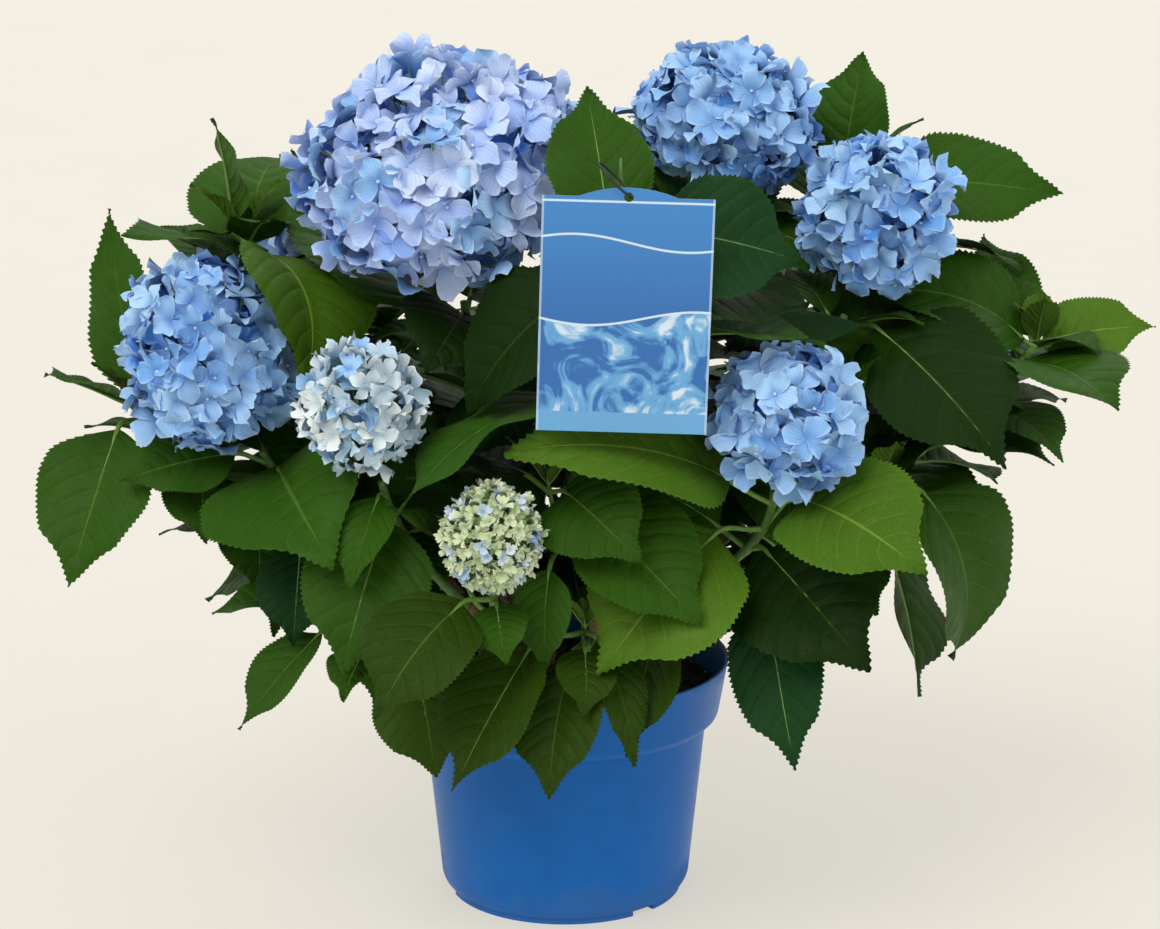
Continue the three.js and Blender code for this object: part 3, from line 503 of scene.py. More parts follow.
class Bow:
    """A Bezier curve whose places and directions go by the share of its length."""

    def __init__(self, *points):
        self.points = [np.array(p, float) for p in points]
        self.steps = np.linspace(0, 1, CURVE["steps"])
        runs = np.linalg.norm(np.diff(self.at(self.steps), axis=0), axis=1)
        self.lengths = np.concatenate([[0], np.cumsum(runs)])
        self.length = self.lengths[-1]

    def at(self, step):
        step = np.asarray(step, float)[..., None]
        row = self.points
        while len(row) > 1:
            row = [a * (1 - step) + b * step for a, b in zip(row, row[1:])]
        return row[0]

    def place(self, share):
        return self.at(np.interp(np.asarray(share) * self.length, self.lengths, self.steps))

    def direction(self, share):
        step = np.interp(share * self.length, self.lengths, self.steps)
        return unit(self.at(min(step + CURVE["nudge"], 1)) - self.at(max(step - CURVE["nudge"], 0)))


def bough_curve(bough):
    low = COMPOST["top"] + GAP
    foot = bough["foot"]
    return Bow((*foot, low), (*foot, low + BOUGH["upright"] * (bough["tip"][2] - low)), bough["tip"])


def bough_radius(bough, share):
    first, last = bough["radii"]
    flare = 1 + BOUGH["flare"] * np.exp(-share / BOUGH["flare_length"])
    return (first + (last - first) * share) * flare


def shoot_lean(shoot):
    return towards(shoot["lean"][0], 90 - shoot["lean"][1])


def shoot_end(shoot):
    """The stem's upper end: the shoot's tip, or just under its bloom."""
    if "tip" in shoot:
        return np.array(shoot["tip"], float)
    bloom = shoot["bloom"]
    return np.array(bloom["at"]) - shoot_lean(shoot) * (bloom["size"][2] * CORE + bloom["neck"])


def stem_curve(shoot):
    """The seat on the bough, and the stem that grows from it."""
    bough = BOUGHS[shoot["bough"]]
    path = bough_curve(bough)
    end = shoot_end(shoot)
    share = shoot["ring"] / BOUGH["steps"]
    seat = path.place(share)
    out = path.direction(share)
    beside = shoot["ring"] < BOUGH["steps"]
    clear = GAP
    if beside:
        along = out
        out = end - seat
        out[2] = 0
        out = unit(out - along * out.dot(along))
        clear += bough_radius(bough, share) + SIDE_GAP
    start = seat + out * clear
    span = np.linalg.norm(start - end)
    reach = STEM["side_reach"] if beside else STEM["reach"]
    lean = shoot_lean(shoot)
    return seat, Bow(start, start + out * span * reach, end - lean * span * STEM["reach"], end)


def outline(share):
    """Half the blade's width at a share of its length, 1 at its broadest."""
    wide, taper = BLADE["wide"], BLADE["taper"]
    broadest = wide / (wide + taper)
    return share**wide * (1 - share) ** taper / (broadest**wide * (1 - broadest) ** taper)


def midrib(leaf, share):
    """How far along and up a place of the midrib is, and its slope."""
    bend = math.radians(leaf["droop"])
    start = math.radians(leaf["rise"]) + bend / 2
    slope = start - bend * share
    along = leaf["length"] * (math.sin(start) - np.sin(slope)) / bend
    up = leaf["length"] * (np.cos(slope) - math.cos(start)) / bend
    return along, up, slope


def blade_place(leaf):
    """The turn from the blade's own frame (along, side, up) to the plant's."""
    chord = Vector(towards(0, leaf["rise"]))
    roll = Matrix.Rotation(math.radians(leaf["roll"]), 3, chord)
    return np.array(Matrix.Rotation(math.radians(leaf["heading"]), 3, "Z") @ roll)


def spread(draw, kind):
    """A drawn difference, up to half of what SPREAD allows to each side."""
    return (next(draw) - 0.5) * SPREAD[kind]


def drawn_bends(draw):
    """The bends and the width that the rule gives a leaf."""
    return {
        "droop": BLADE["droop"] + spread(draw, "droop"),
        "roll": spread(draw, "roll"),
        "fold": BLADE["fold"] + spread(draw, "fold"),
        "width": BLADE["width"] + spread(draw, "width"),
    }


def wanted(shoot, curve):
    """The leaves that a shoot asks for: the set ones, then pairs that turn a quarter round at each node."""
    draw = series(shoot["seed"])
    asked = list(shoot["leaves"])
    lowest = max([-PAIR["first"] / 2] + [leaf["down"] for leaf in asked])
    for i in range(shoot["more"] * 2):
        pair = i // 2
        asked.append(
            {
                "down": lowest + PAIR["first"] + pair * PAIR["spacing"],
                "heading": shoot["turn"] + pair * 90 + (i % 2) * 180 + spread(draw, "heading"),
                "rise": PAIR["rise"] - pair * PAIR["fall"] + spread(draw, "rise"),
                "length": PAIR["length"] + pair * PAIR["growth"] + spread(draw, "length"),
            }
        )
    for leaf in asked:
        node = curve.place(max(STEM["lowest"], 1 - leaf["down"] / curve.length))
        drawn = {**drawn_bends(draw), "stalk": leaf["length"] * STALK["share"], "node": node}
        yield {**drawn, **leaf}


def turned_leaf(leaf, heading, rise, size):
    """The leaf turned and sized as one of its tries."""
    made = dict(
        leaf, heading=leaf["heading"] + heading, rise=leaf["rise"] + rise, length=leaf["length"] * size
    )
    lift = made["rise"] * STALK["follow"] + STALK["lift"]
    made["base"] = made["node"] + towards(made["heading"], lift) * made["stalk"]
    return made


def tries(leaf):
    for size in TRIES["sizes"]:
        yield turned_leaf(leaf, 0, 0, size)
        for turn in TRIES["turns"]:
            for heading, rise in WAYS:
                yield turned_leaf(leaf, heading * turn, rise * turn, size)


def leaf_tip(leaf):
    along, up, _ = midrib(leaf, 1)
    return leaf["base"] + blade_place(leaf) @ np.array([along, 0, up])


def packed_corners(node):
    """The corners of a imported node, to look places up in."""
    verts = node.data.vertices
    tree = kdtree.KDTree(len(verts))
    for i, vert in enumerate(verts):
        tree.insert(vert.co / MM, i)
    tree.balance()
    return tree


def grown(leaf, corners):
    """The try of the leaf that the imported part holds, or None where it had no room to grow."""
    for made in tries(leaf):
        if corners.find(leaf_tip(made))[2] < SAME_PLACE:
            return made
    return None


# Small shapes set down many times, each kind joined into one mesh


class Shape:
    """A mesh made by operators and kept as arrays, so that it can be set down many times."""

    def __init__(self, bm):
        bm.verts.index_update()
        self.places = np.array([vert.co[:] for vert in bm.verts])
        self.faces = [[vert.index for vert in face.verts] for face in bm.faces]
        bm.free()


class Joined:
    """Shapes joined into one mesh, with a place on the shape, a tone and a finish for each."""

    def __init__(self):
        self.places, self.faces, self.spots, self.tones, self.finishes = [], [], [], [], []
        self.count = 0

    def add(self, faces, places, spots=None, tone=0.0, finish=0):
        self.places.append(places)
        self.faces.extend([[i + self.count for i in face] for face in faces])
        self.spots.append(places[:, :2] * 0 if spots is None else spots)
        self.tones.append(np.full(len(places), tone))
        self.finishes.extend([finish] * len(faces))
        self.count += len(places)

    def piece(self, name, slot, finishes, *nodes):
        mesh = bpy.data.meshes.new(name)
        mesh.from_pydata(np.concatenate(self.places) * MM, [], self.faces)
        corners = np.empty(len(mesh.loops), int)
        mesh.loops.foreach_get("vertex_index", corners)
        spots = mesh.uv_layers.new(name="spot")
        spots.data.foreach_set("uv", np.concatenate(self.spots)[corners].ravel())
        tone = mesh.attributes.new("tone", "FLOAT", "POINT")
        tone.data.foreach_set("value", np.concatenate(self.tones))
        mesh.polygons.foreach_set("material_index", self.finishes)
        return worn(mesh, name, slot, finishes, *nodes)


def worn(mesh, name, slot, finishes, *nodes):
    """A smooth-shaded piece of the plant from a mesh, riding on the root body."""
    mesh.shade_smooth()
    for kind in finishes:
        mesh.materials.append(FINISHES[kind])
    piece = linked(name, mesh)
    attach(piece, "root")
    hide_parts(*nodes)
    return piece


class Tube(Shape):
    """A closed tube of a few rings, drawn from a sphere whose rows become the rings."""

    def __init__(self, rings, sides):
        bm = bmesh.new()
        bmesh.ops.create_uvsphere(bm, u_segments=sides, v_segments=rings + 1, radius=1)
        super().__init__(bm)
        x, y, z = self.places.T
        row = np.rint(np.arccos(np.clip(-z, -1, 1)) / math.pi * (rings + 1)).astype(int)
        on_wall = (row > 0) & (row <= rings)
        wide = np.maximum(np.hypot(x, y), 0.001)
        self.ring = np.clip(row - 1, 0, rings - 1)
        self.x = np.where(on_wall, x / wide, 0)
        self.y = np.where(on_wall, y / wide, 0)
        self.angle = np.arctan2(self.y, self.x)

    def along(self, path, radii, swell=1.0):
        """The tube's places along a path of one point a ring, with a radius for each ring."""
        ahead = np.gradient(path, axis=0)
        ahead /= np.linalg.norm(ahead, axis=1)[:, None]
        guide = np.eye(3)[np.argmin(np.abs(ahead).mean(axis=0))]
        side = guide - ahead * (ahead @ guide)[:, None]
        side /= np.linalg.norm(side, axis=1)[:, None]
        over = np.cross(ahead, side)
        ring = self.ring
        radius = (np.asarray(radii)[ring] * swell)[:, None]
        return path[ring] + side[ring] * self.x[:, None] * radius + over[ring] * self.y[:, None] * radius


class Grid(Shape):
    """A grid whose corners know their share of the way along (0 to 1) and across (-1 to 1)."""

    def __init__(self, kind):
        rows, columns = GRIDS[kind]
        bm = bmesh.new()
        bmesh.ops.create_grid(bm, x_segments=rows, y_segments=columns, size=1)
        super().__init__(bm)
        self.share = self.places[:, 0] / 2 + 0.5
        self.across = self.places[:, 1]
        self.row = np.rint(self.share * rows).astype(int)
        self.spots = np.stack([self.across / 2 + 0.5, self.share], axis=1)


# Leaves


def set_down(leaf, share, side, lift):
    """Places on the plant from their share along the midrib, to its side and above it."""
    along, up, slope = midrib(leaf, share)
    own = np.stack([along - np.sin(slope) * lift, side, up + np.cos(slope) * lift], axis=1)
    return leaf["base"] + own @ blade_place(leaf).T


def blade(grid, leaf, draw):
    """A blade's places: toothed, folded up beside the midrib, and puffed up between the side veins."""
    length = leaf["length"]
    share, across = grid.share, grid.across
    off_rib, hand = np.abs(across), np.sign(across)
    toothed = (off_rib > TOOTH["edge"]) & (share > TOOTH["first"]) & (share < TOOTH["last"])
    peak = toothed & (grid.row % 2 == 1)
    share = share + peak * TOOTH["forward"]
    full = outline(np.clip(share, 0, 1))
    point = np.sin(math.pi * np.clip((share - POINT["first"]) / (1 - POINT["first"]), 0, 1))
    heel = np.sin(math.pi * np.clip(share / POINT["heel"], 0, 1))
    half = full * 0.5 * leaf["width"] * length * (1 - POINT["drawn"] * point + POINT["fuller"] * heel)
    uneven = 1 + BLADE["uneven"] * (next(draw) - 0.5) * hand
    teeth = np.where(peak, 1, -TOOTH["in"]) * toothed * hand * TOOTH["out"] * length
    side = across * half * uneven + teeth
    crease = BLADE["crease"] * length
    lift = (np.hypot(side, crease) - crease) * math.tan(math.radians(leaf["fold"]))
    shorter = 1 - ((share - VEIN["longest"]) / (1 - VEIN["longest"])) ** 2
    vein = (share - VEIN["sweep"] * shorter * off_rib ** VEIN["bow"]) * VEIN["pairs"]
    puffed = np.abs(np.sin(math.pi * vein)) ** VEIN["round"] * (1 - off_rib**3) * full
    lift += VEIN["puff"] * length * puffed * np.minimum(off_rib * VEIN["start"], 1)
    wave, waves = next(draw) * 2 * math.pi, BLADE["fewest_waves"] + next(draw)
    lift += BLADE["wave"] * length * across**2 * np.sin(2 * math.pi * waves * share + wave + hand)
    lift -= BLADE["hang"] * length * np.maximum(off_rib - BLADE["hang_from"], 0) ** 2 * full
    sway = BLADE["sway"] * length * (next(draw) - 0.5) * np.sin(math.pi * share)
    return set_down(leaf, share, side + sway, lift)


def rough(grid, leaf):
    """The blade's flat shape, enough to see whether it touches another."""
    side = grid.across * outline(grid.share) * 0.5 * leaf["width"] * leaf["length"]
    return set_down(leaf, grid.share, side, np.abs(side) * math.tan(math.radians(leaf["fold"])))


def stalk_path(leaf, rings):
    """From inside the stem to the blade's foot, then on along the underside of its midrib."""
    slope = midrib(leaf, 0.0)[2]
    ahead = blade_place(leaf) @ np.array([math.cos(slope), 0, math.sin(slope)])
    node, base, reach = leaf["node"], leaf["base"], leaf["stalk"]
    bend = node + (base - node) * STALK["bend"] - [0, 0, STALK["sag"] * reach]
    on_stalk = np.linspace(0, 1, rings // 2)
    rib = np.linspace(0, RIB["end"], rings - len(on_stalk) + 1)[1:]
    rib_radii = STALK["radius"] * np.linspace(RIB["first"], RIB["last"], len(rib))
    bow = Bow(node, bend, base - ahead * reach * STALK["level"], base)
    path = np.concatenate([bow.place(on_stalk), set_down(leaf, rib, rib * 0, -RIB["under"] * rib_radii)])
    foot = 1 + STALK["flare"] * np.exp(-on_stalk * STALK["flare_fall"])
    return path, np.concatenate([STALK["radius"] * foot, rib_radii])


def further_leaves(shoot, curve, leaves):
    """The rule carried finer: smaller pairs from the nodes that the source leaves bare, down the stem."""
    draw = series(shoot["seed"] + SEEDS["further"])
    lowest = max([leaf["down"] for leaf in leaves] + [PAIR["first"] / 2])
    turn = shoot["turn"] + FURTHER["turn"]
    down = PAIR["first"] / 2
    while 1 - down / curve.length > STEM["lowest"]:
        for side in (0, 180):
            length = FURTHER["length"] + spread(draw, "length")
            yield {
                "down": down,
                "heading": turn + side + spread(draw, "heading"),
                "rise": PAIR["rise"] + spread(draw, "rise") * FURTHER["spread"] - FURTHER["fall"] * down,
                "length": length * (1 if down > lowest else FURTHER["smaller"]),
                **drawn_bends(draw),
                "stalk": length * STALK["share"],
                "node": curve.place(1 - down / curve.length),
            }
        down += FURTHER["spacing"]
        turn += 90


def young_leaves(shoot, end):
    """Two pairs of half-open leaves at the end of a shoot that bears no bloom."""
    draw = series(shoot["seed"] + SEEDS["young"])
    for pair, length in enumerate(YOUNG["lengths"]):
        for side in (0, 180):
            leaf = {
                "down": 0,
                "heading": shoot["turn"] + pair * 90 + side + spread(draw, "heading"),
                "rise": YOUNG["rise"] + pair * YOUNG["closing"],
                "length": length * (YOUNG["least"] + YOUNG["spread"] * next(draw)),
                "droop": YOUNG["droop"],
                "roll": 0,
                "fold": YOUNG["fold"],
                "width": YOUNG["width"],
                "stalk": YOUNG["stalk"],
                "node": end,
                "young": True,
            }
            yield turned_leaf(leaf, 0, 0, 1)


def has_room(places, faces, others):
    """A further leaf's touch tree, or None where the leaf has no room.

    It stays in the plant's reach and behind its front, clear of the pot, label, blooms and other leaves.
    """
    low, high = (np.array(corner) / MM for corner in cad_box)
    x, y, z = places.T
    outside = (places < low + ROOM["inside"]).any() or (places > high - ROOM["inside"]).any()
    in_pot = (np.hypot(x, y) < POT["rim_radius"] + ROOM["pot"]) & (z < POT["height"] + ROOM["pot"])
    by_label = np.abs(x - LABEL["at"][0]) < LABEL["width"] * ROOM["beside"]
    by_label &= y < LABEL["at"][1] + ROOM["behind"]
    by_label &= z > LABEL["at"][2] - LABEL["height"] - ROOM["below"]
    if outside or in_pot.any() or by_label.any() or (y < ROOM["front"]).any():
        return None
    for shoot in SHOOTS:
        if "bloom" in shoot:
            away = (places - shoot["bloom"]["at"]) / np.array(shoot["bloom"]["size"])
            if (np.linalg.norm(away, axis=1) < ROOM["bloom"]).any():
                return None
    tree = touch_tree(places, faces)
    return None if any(tree.overlap(other) for other in others) else tree


def touch_tree(places, faces):
    return BVHTree.FromPolygons([tuple(p) for p in places], faces)


def grow_plant():
    """Every shoot with its curve and its leaves, the source's first and then the finer ones."""
    plant = []
    for shoot in SHOOTS:
        seat, curve = stem_curve(shoot)
        corners = packed_corners(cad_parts["leaves_" + shoot["name"]])
        leaves = [grown(leaf, corners) for leaf in wanted(shoot, curve)]
        plant.append((shoot, seat, curve, [leaf for leaf in leaves if leaf]))
    grid = Grid("rough")
    trees = [touch_tree(rough(grid, leaf), grid.faces) for *_, leaves in plant for leaf in leaves]
    print("leaves of the source:", len(trees))
    for shoot, _, curve, leaves in plant:
        for leaf in list(further_leaves(shoot, curve, leaves)):
            for made in tries(leaf):
                tree = has_room(rough(grid, made), grid.faces, trees)
                if tree:
                    trees.append(tree)
                    leaves.append(made)
                    break
        if "tip" in shoot and shoot.get("young", True):
            leaves += young_leaves(shoot, curve.place(1))
    print("with the finer ones:", sum(len(leaves) for *_, leaves in plant))
    return plant


def dress_leaves(plant):
    """The blades, joined by the side of the plant that their shoot ends on."""
    broad, small = Grid("broad"), Grid("young")
    parts = {side: Joined() for side in ("left", "right", "back")}
    nodes = {side: [] for side in parts}
    for shoot, _, curve, leaves in plant:
        draw = series(shoot["seed"] + SEEDS["blades"])
        x, y, _ = curve.place(1)
        side = "back" if y > SIDES["back"] else "left" if x < SIDES["left"] else "right"
        nodes[side].append("leaves_" + shoot["name"])
        for leaf in leaves:
            young = "young" in leaf
            grid = small if young else broad
            tint = "fresh_and_lit" if young else leaf.get("tint", shoot.get("spray", SPRAY))
            places = blade(grid, leaf, draw)
            parts[side].add(grid.faces, places, grid.spots, next(draw), list(LEAF_CODES).index(tint))
    for side, joined in parts.items():
        joined.piece("blades_" + side, "leaf", ["leaf_" + tint for tint in LEAF_CODES], *nodes[side])


# Limbs


def dress_boughs():
    """Bark in ridges round each bough, swollen where old leaves stood."""
    tube = Tube(BOUGH["rings"], BOUGH["sides"])
    joined = Joined()
    shares = np.linspace(0, 1, BOUGH["rings"])
    for number, bough in enumerate(BOUGHS.values()):
        curve = bough_curve(bough)
        path = curve.place(shares)
        path[0, 2] -= BOUGH["sunk"]
        run = shares * curve.length
        scars = sum(
            np.exp(-(((run - scar) / SCAR["length"]) ** 2))
            for scar in range(SCAR["first"], int(curve.length), SCAR["spacing"])
        )
        radii = bough_radius(bough, shares) * (1 + SCAR["height"] * scars)
        swell = [bark_swell(angle, run[ring], number) for angle, ring in zip(tube.angle, tube.ring)]
        joined.add(tube.faces, tube.along(path, radii, np.array(swell)), tone=number / len(BOUGHS))
    joined.piece("bark", "bark", ["bark"], *["bough_" + name for name in BOUGHS])


def bark_swell(angle, run, number):
    """How far the ridges lift the bark at an angle round a bough and a run along it."""
    swell = 1
    for height, turns, length, shift in RIDGES:
        place = (math.cos(angle) * turns, math.sin(angle) * turns, run / length + number * shift)
        swell += height * noise.noise(place)
    return swell


def dress_stems(plant):
    """Green stems from inside the bark to a bloom or a thin end, swollen at each pair, and leaf stalks."""
    stem, stalk = Tube(STEM["rings"], STEM["sides"]), Tube(STALK["rings"], STALK["sides"])
    stems, stalks = Joined(), Joined()
    shares = np.linspace(0, 1, STEM["rings"] - 1)
    for shoot, seat, curve, leaves in plant:
        radii = STEM["foot"] + (STEM["tip"] - STEM["foot"]) * shares
        for leaf in leaves:
            away = (shares - 1) * curve.length + leaf["down"]
            swelling = STEM["swelling"] * np.exp(-((away / STEM["swelling_length"]) ** 2))
            radii = radii + swelling * (radii < STEM["thickest"])
            path, stalk_radii = stalk_path(leaf, STALK["rings"])
            slim = YOUNG["slim"] if "young" in leaf else 1
            stalks.add(stalk.faces, stalk.along(path, stalk_radii * slim))
        if "tip" in shoot:
            near_end = np.clip(1 - (1 - shares) * curve.length / STEM["drawn_out"], 0, 1)
            radii = radii * (1 - STEM["drawn_in"] * near_end)
        path = np.concatenate([[seat], curve.place(shares)])
        stems.add(stem.faces, stem.along(path, np.concatenate([[STEM["foot"]], radii])))
    stems.piece("stems", "leaf", ["stem"])
    stalks.piece("leaf_stalks", "leaf", ["stalk"])


# Flower heads


def petal(grid, reach, wide, spin, rise, draw):
    """A broad petal from the middle of its floret, cupped, with its point turned back."""
    share, across = grid.share, grid.across
    width = share ** PETAL["swell"] * np.sqrt(1 - PETAL["end"] * share**4) + PETAL["foot"]
    ripple = PETAL["ripple"] * (next(draw) - 0.5) * 2
    back, cup = PETAL["back"] * 2 * next(draw), PETAL["cup"] * (PETAL["flat"] + next(draw))
    x = reach * (share * math.cos(rise) - PETAL["tuck"] * across**2 * share**3)
    y = reach * wide * across * width
    z = reach * (math.sin(rise) * share - back * share**3 + cup * across**2 * share)
    curl = PETAL["curl"] * np.sin(PETAL["curls_along"] * share + PETAL["curls_across"] * across)
    z = z + reach * ripple * (across * share + curl * share)
    turn = np.array(Matrix.Rotation(spin, 3, "Z"))
    return np.stack([x, y, z], axis=1) @ turn.T


def head_seats(count):
    """Evenly spread outward directions, from the top of a head down to where the stem comes in."""
    number = np.arange(count)
    up = 1 - (2 - FLORET["bare"]) * (number + 0.5) / count
    level = np.sqrt(1 - up**2)
    golden = math.pi * (3 - math.sqrt(5))
    return np.stack([level * np.cos(golden * number), level * np.sin(golden * number), up], axis=1)


def facing_turn(way):
    """The turn that takes straight up to a way."""
    return np.array(Vector((0, 0, 1)).rotation_difference(Vector(way)).to_matrix())


def dress_bloom(shoot, petals, eyes, rays):
    """A flower head: florets of four petals in two layers, on rays that branch from the end of the stem,
    with painted shade on the inner layer and painted light on the side towards the key light.
    """
    bloom, shift = shoot["bloom"], shoot["seed"]
    kind = HEADS[bloom["finish"]]
    at, size, reach = np.array(bloom["at"], float), np.array(bloom["size"], float), bloom["floret"]
    lean = shoot_lean(shoot)
    head = facing_turn(lean)
    draw = series(shoot["seed"] + SEEDS["bloom"])
    a, b, c = size
    area = 4 * math.pi * (a * b + b * c + a * c) / 3
    grid, eye, ray = Grid("petal"), Shape(small_ball()), Tube(RAY["rings"], RAY["sides"])
    hub = at - lean * size[2] * RAY["hub"]
    outer = int(FLORET["cover"] * area / (math.pi * reach**2))
    (even, lump_height, lump_grain), (least, larger) = FLORET["lumps"], FLORET["scale"]
    short, longer = FLORET["petal"]
    for layer, count in ((FLORET["seat"], outer), (FLORET["inner"], int(outer * FLORET["fewer"]))):
        for out in head_seats(count):
            facing = unit(out / size)
            lump = even + lump_height * noise.noise(Vector(out * lump_grain + shift))
            ragged = FLORET["ragged"] * (next(draw) - FLORET["inward"])
            seat = out * size * (layer * lump + ragged) - facing * reach * FLORET["sunk"]
            sideways = Vector([next(draw) - 0.5 for _ in range(3)])
            tilt = Vector(facing) + sideways * math.radians(FLORET["tilt"]) * 2
            turn = head @ facing_turn(tilt)
            place = at + head @ seat
            spin = next(draw) * math.pi
            scale = reach * (least + larger * next(draw))
            patch = noise.noise(Vector(out * TONE["grain"] + shift))
            # Painted light: florets turned towards the key light take the light colour, those turned away
            # the deep one
            shade = 0.5 - 0.5 * facing.dot(unit(np.array(PAINTED_LIGHT_SIDE)))
            tone = TONE["luck"] * next(draw) + TONE["patch"] * patch + TONE["side"] * shade + TONE["least"]
            # The inner layer takes the deep colour wholly: painted shade deep inside the head
            tone = min(max(tone, 0), 1) if layer == FLORET["seat"] else 1
            patch = PATCH["height"] * noise.noise(Vector(out * PATCH["grain"] - kind["patch"]))
            turned = 0.5 + patch + PATCH["luck"] * (next(draw) - 0.5)
            number = sum(turned > share for share in kind["from"])
            for quarter in range(4):
                rise = math.radians(kind["rise"] + FLORET["sway"] * (next(draw) - 0.5))
                long = scale * (short + longer * next(draw))
                own = petal(grid, long, kind["width"], spin + quarter * math.pi / 2, rise, draw)
                petals.add(grid.faces, place + own @ turn.T, grid.spots, tone, number)
            if layer == FLORET["seat"]:
                if next(draw) < FLORET["open"]:
                    ball = eye.places * reach * EYE["radius"] + [0, 0, reach * EYE["rise"]]
                    eyes.add(eye.faces, place + ball @ turn.T)
                foot = place + (hub - place) * RAY["from"]
                rays.add(ray.faces, ray.along(np.linspace(foot, place, RAY["rings"]), RAY_RADII["thin"]))
    for out in head_seats(RAY["count"]):
        end = at + head @ (out * size * FLORET["inner"])
        bow = Bow(hub - lean * size[2] * RAY["foot"], hub, end)
        rays.add(ray.faces, ray.along(bow.place(np.linspace(0, 1, RAY["rings"])), RAY_RADII["thick"]))


def small_ball():
    bm = bmesh.new()
    bmesh.ops.create_icosphere(bm, subdivisions=1, radius=1)
    return bm


def dress_blooms():
    petals, nodes = {}, {}
    eyes, rays = Joined(), Joined()
    for shoot in SHOOTS:
        if "bloom" in shoot:
            tint = shoot["bloom"]["finish"]
            nodes.setdefault(tint, []).append("bloom_" + shoot["name"])
            dress_bloom(shoot, petals.setdefault(tint, Joined()), eyes, rays)
    for tint, joined in petals.items():
        finishes = ["petal_" + name for name in HEADS[tint]["finishes"]]
        joined.piece("petals_" + tint, "bloom_" + tint, finishes, *nodes[tint])
    eyes.piece("floret_eyes", "bloom_pale", ["eye"])
    rays.piece("flower_stalks", "leaf", ["stalk"])


# Pot and compost


def wall_profile():
    """The outer wall's radii and heights from the edge of the foot up to the rim."""
    top = POT["height"]
    turn = np.radians(np.linspace(-POT["corner_turn"], 0, POT["corner_rings"]))
    radii = POT["foot_radius"] - POT["corner"] * (1 - np.cos(turn))
    heights = POT["corner"] * (1 + np.sin(turn))
    band_foot = top - POT["band"]
    under, out = POT["shoulder_radius"], POT["band_foot_radius"]
    step = [(under + share * (out - under), band_foot - down * POT["step"]) for share, down in STEP_SHARES]
    (foot_out, foot_up), (rim_in, rim_down) = POT["band_edge"], POT["rim_edge"]
    band = [(out + foot_out, band_foot + foot_up), (POT["rim_radius"] - rim_in, top - rim_down)]
    return [(POT["ring_radius"], POT["ring_height"]), *zip(radii, heights), *step, *band]


def turned_round(bm, geom, steps):
    """Spins a profile once round the Z axis into a closed shell."""
    axis = {"cent": (0, 0, 0), "axis": (0, 0, 1), "angle": 2 * math.pi}
    bmesh.ops.spin(bm, geom=geom, steps=steps, use_merge=True, **axis)
    bmesh.ops.remove_doubles(bm, verts=bm.verts, dist=MERGE)
    bmesh.ops.recalc_face_normals(bm, faces=bm.faces)


def cut_away(mesh, cutter_bm):
    """The mesh with the cutter's solids taken out of it."""
    body, cutter = linked("body", mesh), linked("cutter", mesh_of(cutter_bm, "cutter"))
    cut = body.modifiers.new("cut", "BOOLEAN")
    cut.object = cutter
    cut.solver = "EXACT"
    return final_mesh(body, cutter)


def final_mesh(thing, *helpers):
    """A mesh of what an object finally shows. The object and its helpers are taken away."""
    done = bpy.data.meshes.new_from_object(thing.evaluated_get(bpy.context.evaluated_depsgraph_get()))
    for used in (thing, *helpers):
        bpy.data.objects.remove(used)
    return done


def round_the_pot(angle, out):
    """A place at an angle round the pot and a distance from its middle."""
    return Matrix.Rotation(angle, 4, "Z") @ Matrix.Translation((out * MM, 0, 0))


def dress_pot():
    """A blown plastic pot with a deep band and a rolled rim, drained and notched underneath."""
    wall = wall_profile()
    rim, top, thick, lip = POT["rim_radius"], POT["height"], POT["wall"] / 2, POT["lip"]
    inside = [(radius - POT["wall"], max(z, POT["floor"] + POT["inner_corner"])) for radius, z in wall[1:]]
    turn = np.radians(np.linspace(*POT["roll"]))
    roll = [(rim - thick + thick * math.cos(a), top - lip + lip * math.sin(a)) for a in turn]
    profile = [(0, 0), (POT["ring_radius"], 0), *wall, *roll, *reversed(inside)]
    profile += [(POT["ring_radius"] - POT["floor_edge"], POT["floor"]), (0, POT["floor"])]
    shell = bmesh.new()
    verts = [shell.verts.new((radius * MM, 0, z * MM)) for radius, z in profile]
    turned_round(shell, verts + [shell.edges.new(pair) for pair in zip(verts, verts[1:])], POT["turns"])
    cutters = bmesh.new()
    radius, depth = DRAIN["radius"] * MM, DRAIN["depth"] * MM
    drill = {"segments": DRAIN["sides"], "radius1": radius, "radius2": radius, "depth": depth}
    for i in range(DRAIN["count"]):
        place = round_the_pot(i * 2 * math.pi / DRAIN["count"], DRAIN["ring"])
        bmesh.ops.create_cone(cutters, cap_ends=True, matrix=place, **drill)
    for i in range(NOTCH["count"]):
        sized = Matrix.Diagonal((NOTCH["depth"] * 2 * MM, NOTCH["width"] * MM, NOTCH["height"] * 2 * MM, 1))
        place = round_the_pot(math.radians(NOTCH["first"] + i * 360 / NOTCH["count"]), POT["ring_radius"])
        bmesh.ops.create_cube(cutters, size=1, matrix=place @ sized)
    sharpen(worn(cut_away(mesh_of(shell, "pot_shell"), cutters), "pot_shell", "pot", ["pot"], "pot"))


def sharpen(piece):
    """Smooth shading that keeps the sharp edges."""
    bm = bmesh.new()
    bm.from_mesh(piece.data)
    for edge in bm.edges:
        if len(edge.link_faces) == 2:
            edge.smooth = edge.calc_face_angle() < math.radians(SHARP)
    bm.to_mesh(piece.data)
    bm.free()


